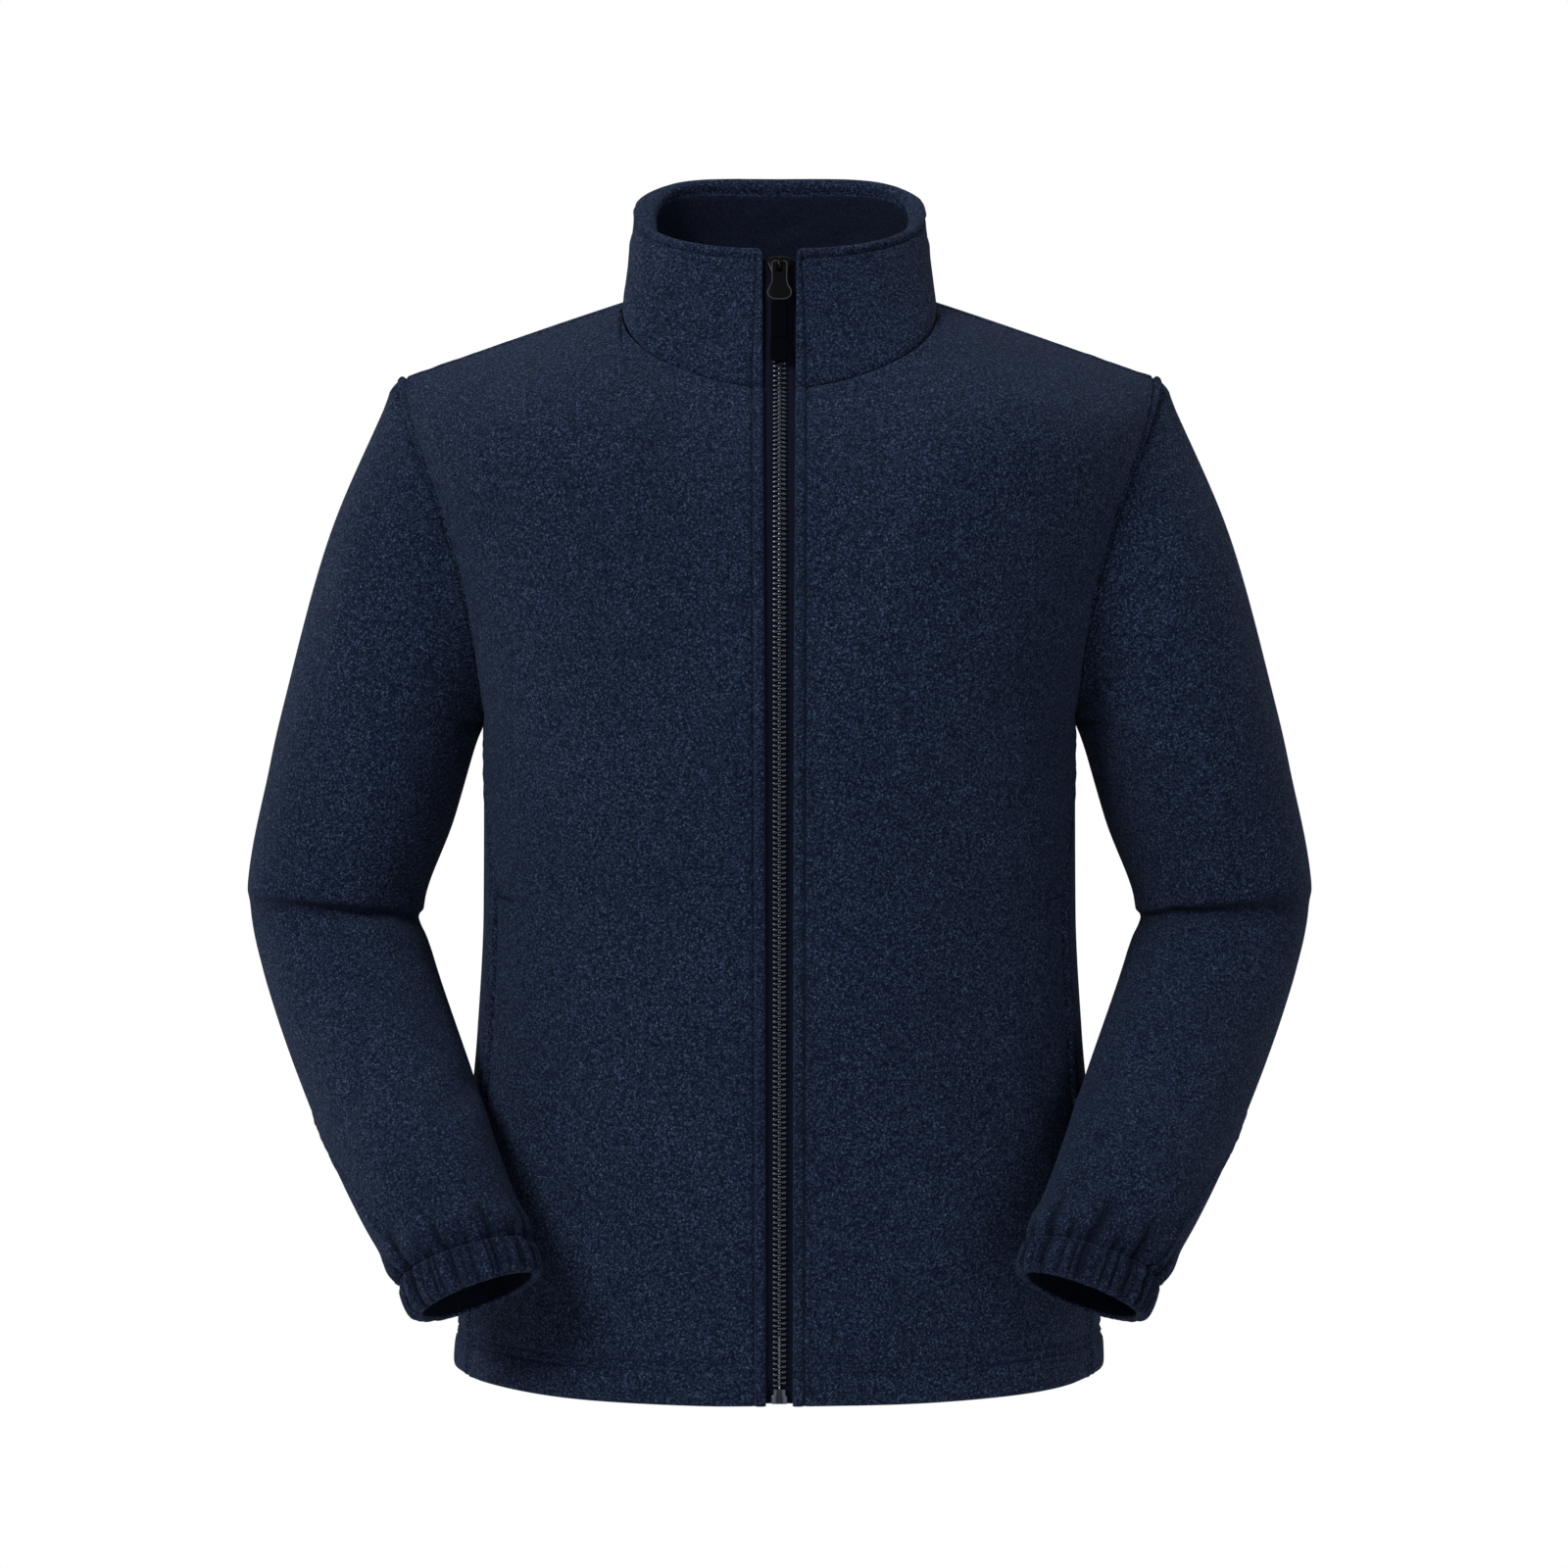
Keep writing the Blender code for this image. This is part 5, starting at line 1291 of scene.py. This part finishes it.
def flatPiece(name, outline, fronts, material, **options):  # an (x, up) outline, from front to back
    outline = np.asarray(outline, float)
    middle = outline.mean(axis=0)
    rings = []
    for front, scale in fronts:
        shrunk = middle + (outline - middle) * scale
        rings.append(sliderPoint(shrunk[:, 0], shrunk[:, 1], front))
    return lofted(name, rings, material, **options)


def arc(cx, cy, rx, ry, start, end, count):
    turn = np.radians(np.linspace(start, end, count))
    return list(zip(cx + rx * np.cos(turn), cy + ry * np.sin(turn)))


def buildBox():
    box = dict(half=5.4 * mm, front=-0.7 * mm, back=2.4 * mm)
    runs = np.array([0.2 * mm, 1.0 * mm, 4.6 * mm, 5.4 * mm, boxTop - 0.4 * mm, boxTop])
    halves = np.array([0.86, 1.0, 1.0, 0.80, 0.76, 0.70]) * box["half"]
    rings = []
    for run, half in zip(runs, halves):
        corners = [(-half, box["back"]), (-half, box["front"] + 0.7 * mm), (-half + 0.8 * mm, box["front"]),
                   (-0.5 * mm, box["front"]), (0.0, box["front"] + 0.35 * mm), (0.5 * mm, box["front"]),
                   (half - 0.8 * mm, box["front"]), (half, box["front"] + 0.7 * mm), (half, box["back"])]
        rings.append([zipPoint(run, x, d) for x, d in corners])
    moulded = lofted("zip_box.moulded", rings, materials["teeth"], rounding=0.25 * mm)
    place(moulded, "jacket", "zip_plastic", "zip_box")


def buildSlider():
    half = zipper["sliderHalf"]
    side = [(0.0, half * 1.00), (4.8 * mm, half * 0.98), (7.2 * mm, half * 0.80), (7.9 * mm, half * 0.30),
            (6.8 * mm, -half * 0.20), (5.3 * mm, -half * 0.80), (4.6 * mm, -half)]
    outline = side + [(-x, up) for x, up in reversed(side[1:])]
    fronts = [(-5.6, 0.94), (-5.2, 1.0), (-4.4, 1.0), (-4.3, 0.90), (-2.5, 0.90), (-2.4, 1.0), (0.1, 1.0),
              (0.8, 0.93), (1.15, 0.78)]
    plate = flatPiece("slider.body", outline, [(front * mm, size) for front, size in fronts],
                      materials["metal"], rounding=0.2 * mm)
    place(plate, "jacket", "slider_metal", "slider")
    path = [(-4.3, 1.0), (-4.1, 3.6), (-3.4, 5.3), (-2.0, 6.1), (0.0, 6.3), (2.0, 6.1), (3.4, 5.3),
            (4.1, 3.6), (4.3, 1.0)]
    rings = []
    path = np.array(path) * mm
    lean = unit(np.gradient(path, axis=0))
    for (up, front), (du, df) in zip(path, lean):
        section = [(x * mm, n * mm) for x, n in arc(0, 0, 1.25, 0.62, 0, 315, 8)]
        rings.append([sliderPoint(x, up - df * n, front + du * n) for x, n in section])
    bridge = lofted("slider_bridge.wire", rings, materials["metal"])
    place(bridge, "jacket", "slider_metal", "slider_bridge")


hingeFront = 3.6 * mm
pullThick = 1.4 * mm


def ringFrom(outline, hole, name, thick, material, rounding):
    # a flat tab with a hole: matching points round the outline and round the hole
    outer, inner = np.asarray(outline, float), np.asarray(hole, float)
    fronts = [hingeFront - thick / 2, hingeFront + thick / 2]
    rings = [sliderPoint(o[:, 0], o[:, 1], f) for o, f in
             ((outer, fronts[0]), (outer, fronts[1]), (inner, fronts[1]), (inner, fronts[0]))]
    count = len(outer)
    vertices = np.concatenate(rings)
    faces = []
    for k in range(4):
        for j in range(count):
            n = (j + 1) % count
            faces.append((k * count + j, k * count + n, (k + 1) % 4 * count + n, (k + 1) % 4 * count + j))
    thing = makeObject(name, vertices, faces, material)
    fixNormals(thing)
    bevel = thing.modifiers.new("edges", "BEVEL")
    bevel.width, bevel.segments, bevel.limit_method = rounding, 3, "ANGLE"
    bevel.angle_limit = math.radians(50)
    return thing


def bead(name, outline, front, radius, material):  # a thin rounded edge along a closed outline in (x, up)
    outline = np.asarray(outline, float)
    along = unit(np.roll(outline, -1, axis=0) - np.roll(outline, 1, axis=0))
    turn = np.arange(8) * math.pi / 4
    rings = [sliderPoint(x + radius * np.cos(turn) * ay, up - radius * np.cos(turn) * ax,
                         front + radius * np.sin(turn))
             for (x, up), (ax, ay) in zip(outline, along)]
    count = len(rings)
    faces = [(i * 8 + j, i * 8 + (j + 1) % 8, (i + 1) % count * 8 + (j + 1) % 8, (i + 1) % count * 8 + j)
             for i in range(count) for j in range(8)]
    thing = makeObject(name, np.concatenate(rings), faces, material)
    fixNormals(thing)
    return thing


# the pull below its hinge: straight shoulders, then a flared foot
pullShape = table("below half", [
    (-1.1, 3.2), (-0.8, 4.0), (-0.2, 4.4), (1.5, 4.6), (6.0, 4.5), (11.0, 4.4), (14.5, 5.0),
    (17.5, 6.5), (20.0, 7.3), (22.0, 6.9), (23.6, 5.5), (24.5, 3.9), (24.8, 2.4)])


def buildPull():
    count = 64
    turn = np.linspace(0, 2 * np.pi, count, endpoint=False)
    below = np.linspace(-1.1, 24.8, 200)
    side = np.column_stack([lookUp(pullShape, "half", below), -below])
    side = np.concatenate([[(0.0, 1.1)], side, [(0.0, -24.8)]]) * mm
    run = runAlong(side, 0)
    even = np.linspace(0, run[-1], count // 2 + 1)
    right = np.column_stack([np.interp(even, run, side[:, k]) for k in (0, 1)])
    whole = np.concatenate([right, (right * np.array([-1, 1]))[-2:0:-1]])
    power = 2 / 3.2
    window = np.column_stack([1.8 * np.sign(np.sin(turn)) * np.abs(np.sin(turn)) ** power,
                              -3.55 + 2.65 * np.sign(np.cos(turn)) * np.abs(np.cos(turn)) ** power]) * mm
    plate = ringFrom(whole, window, "zip_pull.plate", pullThick, materials["metal"], 0.30 * mm)
    # painted highlight: a bead of lighter enamel along the outline stands in for the light on the pull's
    # rounded rim
    edge = bead("zip_pull.edge", whole, hingeFront + pullThick * 0.42, 0.30 * mm, materials["edge"])
    for thing in (plate, edge):
        place(thing, "pull", "slider_metal", "zip_pull")

    bands = table("below thick half", [
        (25.3, 1.3, 3.6), (25.9, 1.9, 4.6), (27.5, 2.1, 5.0), (30.0, 1.5, 5.0), (32.0, 1.3, 5.0),
        (43.0, 1.3, 5.0), (50.9, 1.3, 5.0)])
    rings = []
    for below in np.linspace(25.3, 50.9, 53):
        thick, half = lookUp(bands, "thick", below), lookUp(bands, "half", below)
        rib = 0.14 * (1 + math.cos((below - 33) * 2 * math.pi / 2.4)) * (33 < below < 50)
        rings.append([sliderPoint(x * mm, -below * mm, hingeFront + f * mm)
                      for x, f in superellipse(half, float(thick) + rib, 3.2, 16)])
    strap = lofted("pull_strap.rubber", rings, materials["rubber"])
    place(strap, "pull", "grip_rubber", "pull_strap")

    grip = table("below half thick", [
        (51.2, 4.4, 1.2), (51.8, 5.1, 1.6), (53.0, 5.4, 1.75), (59.0, 5.6, 1.75), (63.6, 5.5, 1.7),
        (65.9, 4.5, 1.45), (66.9, 2.2, 0.9)])
    rings = []
    for below in np.linspace(51.2, 66.9, 38):
        half, thick = float(lookUp(grip, "half", below)), float(lookUp(grip, "thick", below))
        dent = 0.30 * math.exp(-((below - 58.2) / 3.2) ** 2)
        rings.append([sliderPoint(x * mm, -below * mm, hingeFront + f * mm)
                      for x, f in superellipse(half, thick - dent, 3.0, 18)])
    end = lofted("pull_grip.rubber", rings, materials["rubber"])
    place(end, "pull", "grip_rubber", "pull_grip")


def superellipse(half, thick, power, count):
    turn = np.linspace(0, 2 * np.pi, count, endpoint=False)
    c, s = np.cos(turn), np.sin(turn)
    return list(zip(half * np.sign(c) * np.abs(c) ** (2 / power),
                    thick * np.sign(s) * np.abs(s) ** (2 / power)))


buildTapes()
buildTeeth()
buildBox()
buildSlider()
buildPull()
print("zip made")


# stage: a pale floor under where a wearer would stand, soft light and the camera

stage = dict(
    cameraAt=(0.0028, -2.2, -0.31), lens=79.2, floorZ=-1.42, floorRadius=1.45,
    air=(0.62, 0.64, 0.68), airStrength=0.34)

lights = [  # name, where it stands, where it looks, width, power
    ("key", (-1.7, -2.1, 1.2), (-0.05, 0, -0.25), 1.3, 88),
    ("fill", (2.1, -2.0, 0.1), (0.0, 0, -0.35), 1.6, 20),
    ("low", (0.0, -2.4, -1.1), (0.0, 0, -0.4), 1.6, 6),
    ("top", (0.0, 0.2, 2.0), (0.0, 0, 0.0), 1.6, 14),
    ("rim left", (-1.8, 1.3, 0.4), (0.0, 0, -0.3), 1.2, 14),
    ("rim right", (1.8, 1.3, 0.4), (0.0, 0, -0.3), 1.2, 10)]


def lookAt(thing, target):
    thing.rotation_euler = (Vector(target) - thing.location).to_track_quat("-Z", "Y").to_euler()


def buildStage():
    scene = bpy.context.scene
    scene.view_settings.view_transform = "Standard"
    world = bpy.data.worlds.new("studio")
    scene.world = world
    world.use_nodes = True
    tree = world.node_tree
    seen = tree.nodes.new("ShaderNodeLightPath")
    white = tree.nodes.new("ShaderNodeBackground")
    white.inputs["Color"].default_value = (1, 1, 1, 1)
    soft = tree.nodes["Background"]
    soft.inputs["Color"].default_value = (*stage["air"], 1)
    soft.inputs["Strength"].default_value = stage["airStrength"]
    mix = tree.nodes.new("ShaderNodeMixShader")
    tree.links.new(seen.outputs["Is Camera Ray"], mix.inputs[0])
    tree.links.new(soft.outputs[0], mix.inputs[1])
    tree.links.new(white.outputs[0], mix.inputs[2])
    tree.links.new(mix.outputs[0], tree.nodes["World Output"].inputs["Surface"])

    for name, spot, target, width, power in lights:
        lamp = bpy.data.lights.new(name, "AREA")
        lamp.shape, lamp.size, lamp.energy = "DISK", width, power
        thing = bpy.data.objects.new(name, lamp)
        thing.location = spot
        lookAt(thing, target)
        scene.collection.objects.link(thing)

    turn = np.linspace(0, 2 * np.pi, 96, endpoint=False)
    rim = np.column_stack([np.cos(turn), np.sin(turn), np.zeros(96)]) * stage["floorRadius"]
    pale = Finish("pale floor", Roughness=0.85)
    floorMaterial = pale.wear(Base_Color=pale.blend(pale.noise(3.0), (0.86, 0.86, 0.86), (0.90, 0.90, 0.90)))
    floor = makeObject("floor", rim + np.array([0, 0, stage["floorZ"]]), [tuple(range(96))], floorMaterial)

    camera = bpy.data.objects.new("camera", bpy.data.cameras.new("camera"))
    camera.location = stage["cameraAt"]
    camera.rotation_euler = (math.radians(90), 0, 0)
    camera.data.lens, camera.data.sensor_width = stage["lens"], 36.0
    camera.data.dof.use_dof = False
    scene.collection.objects.link(camera)
    scene.camera = camera


buildStage()
print("stage made")
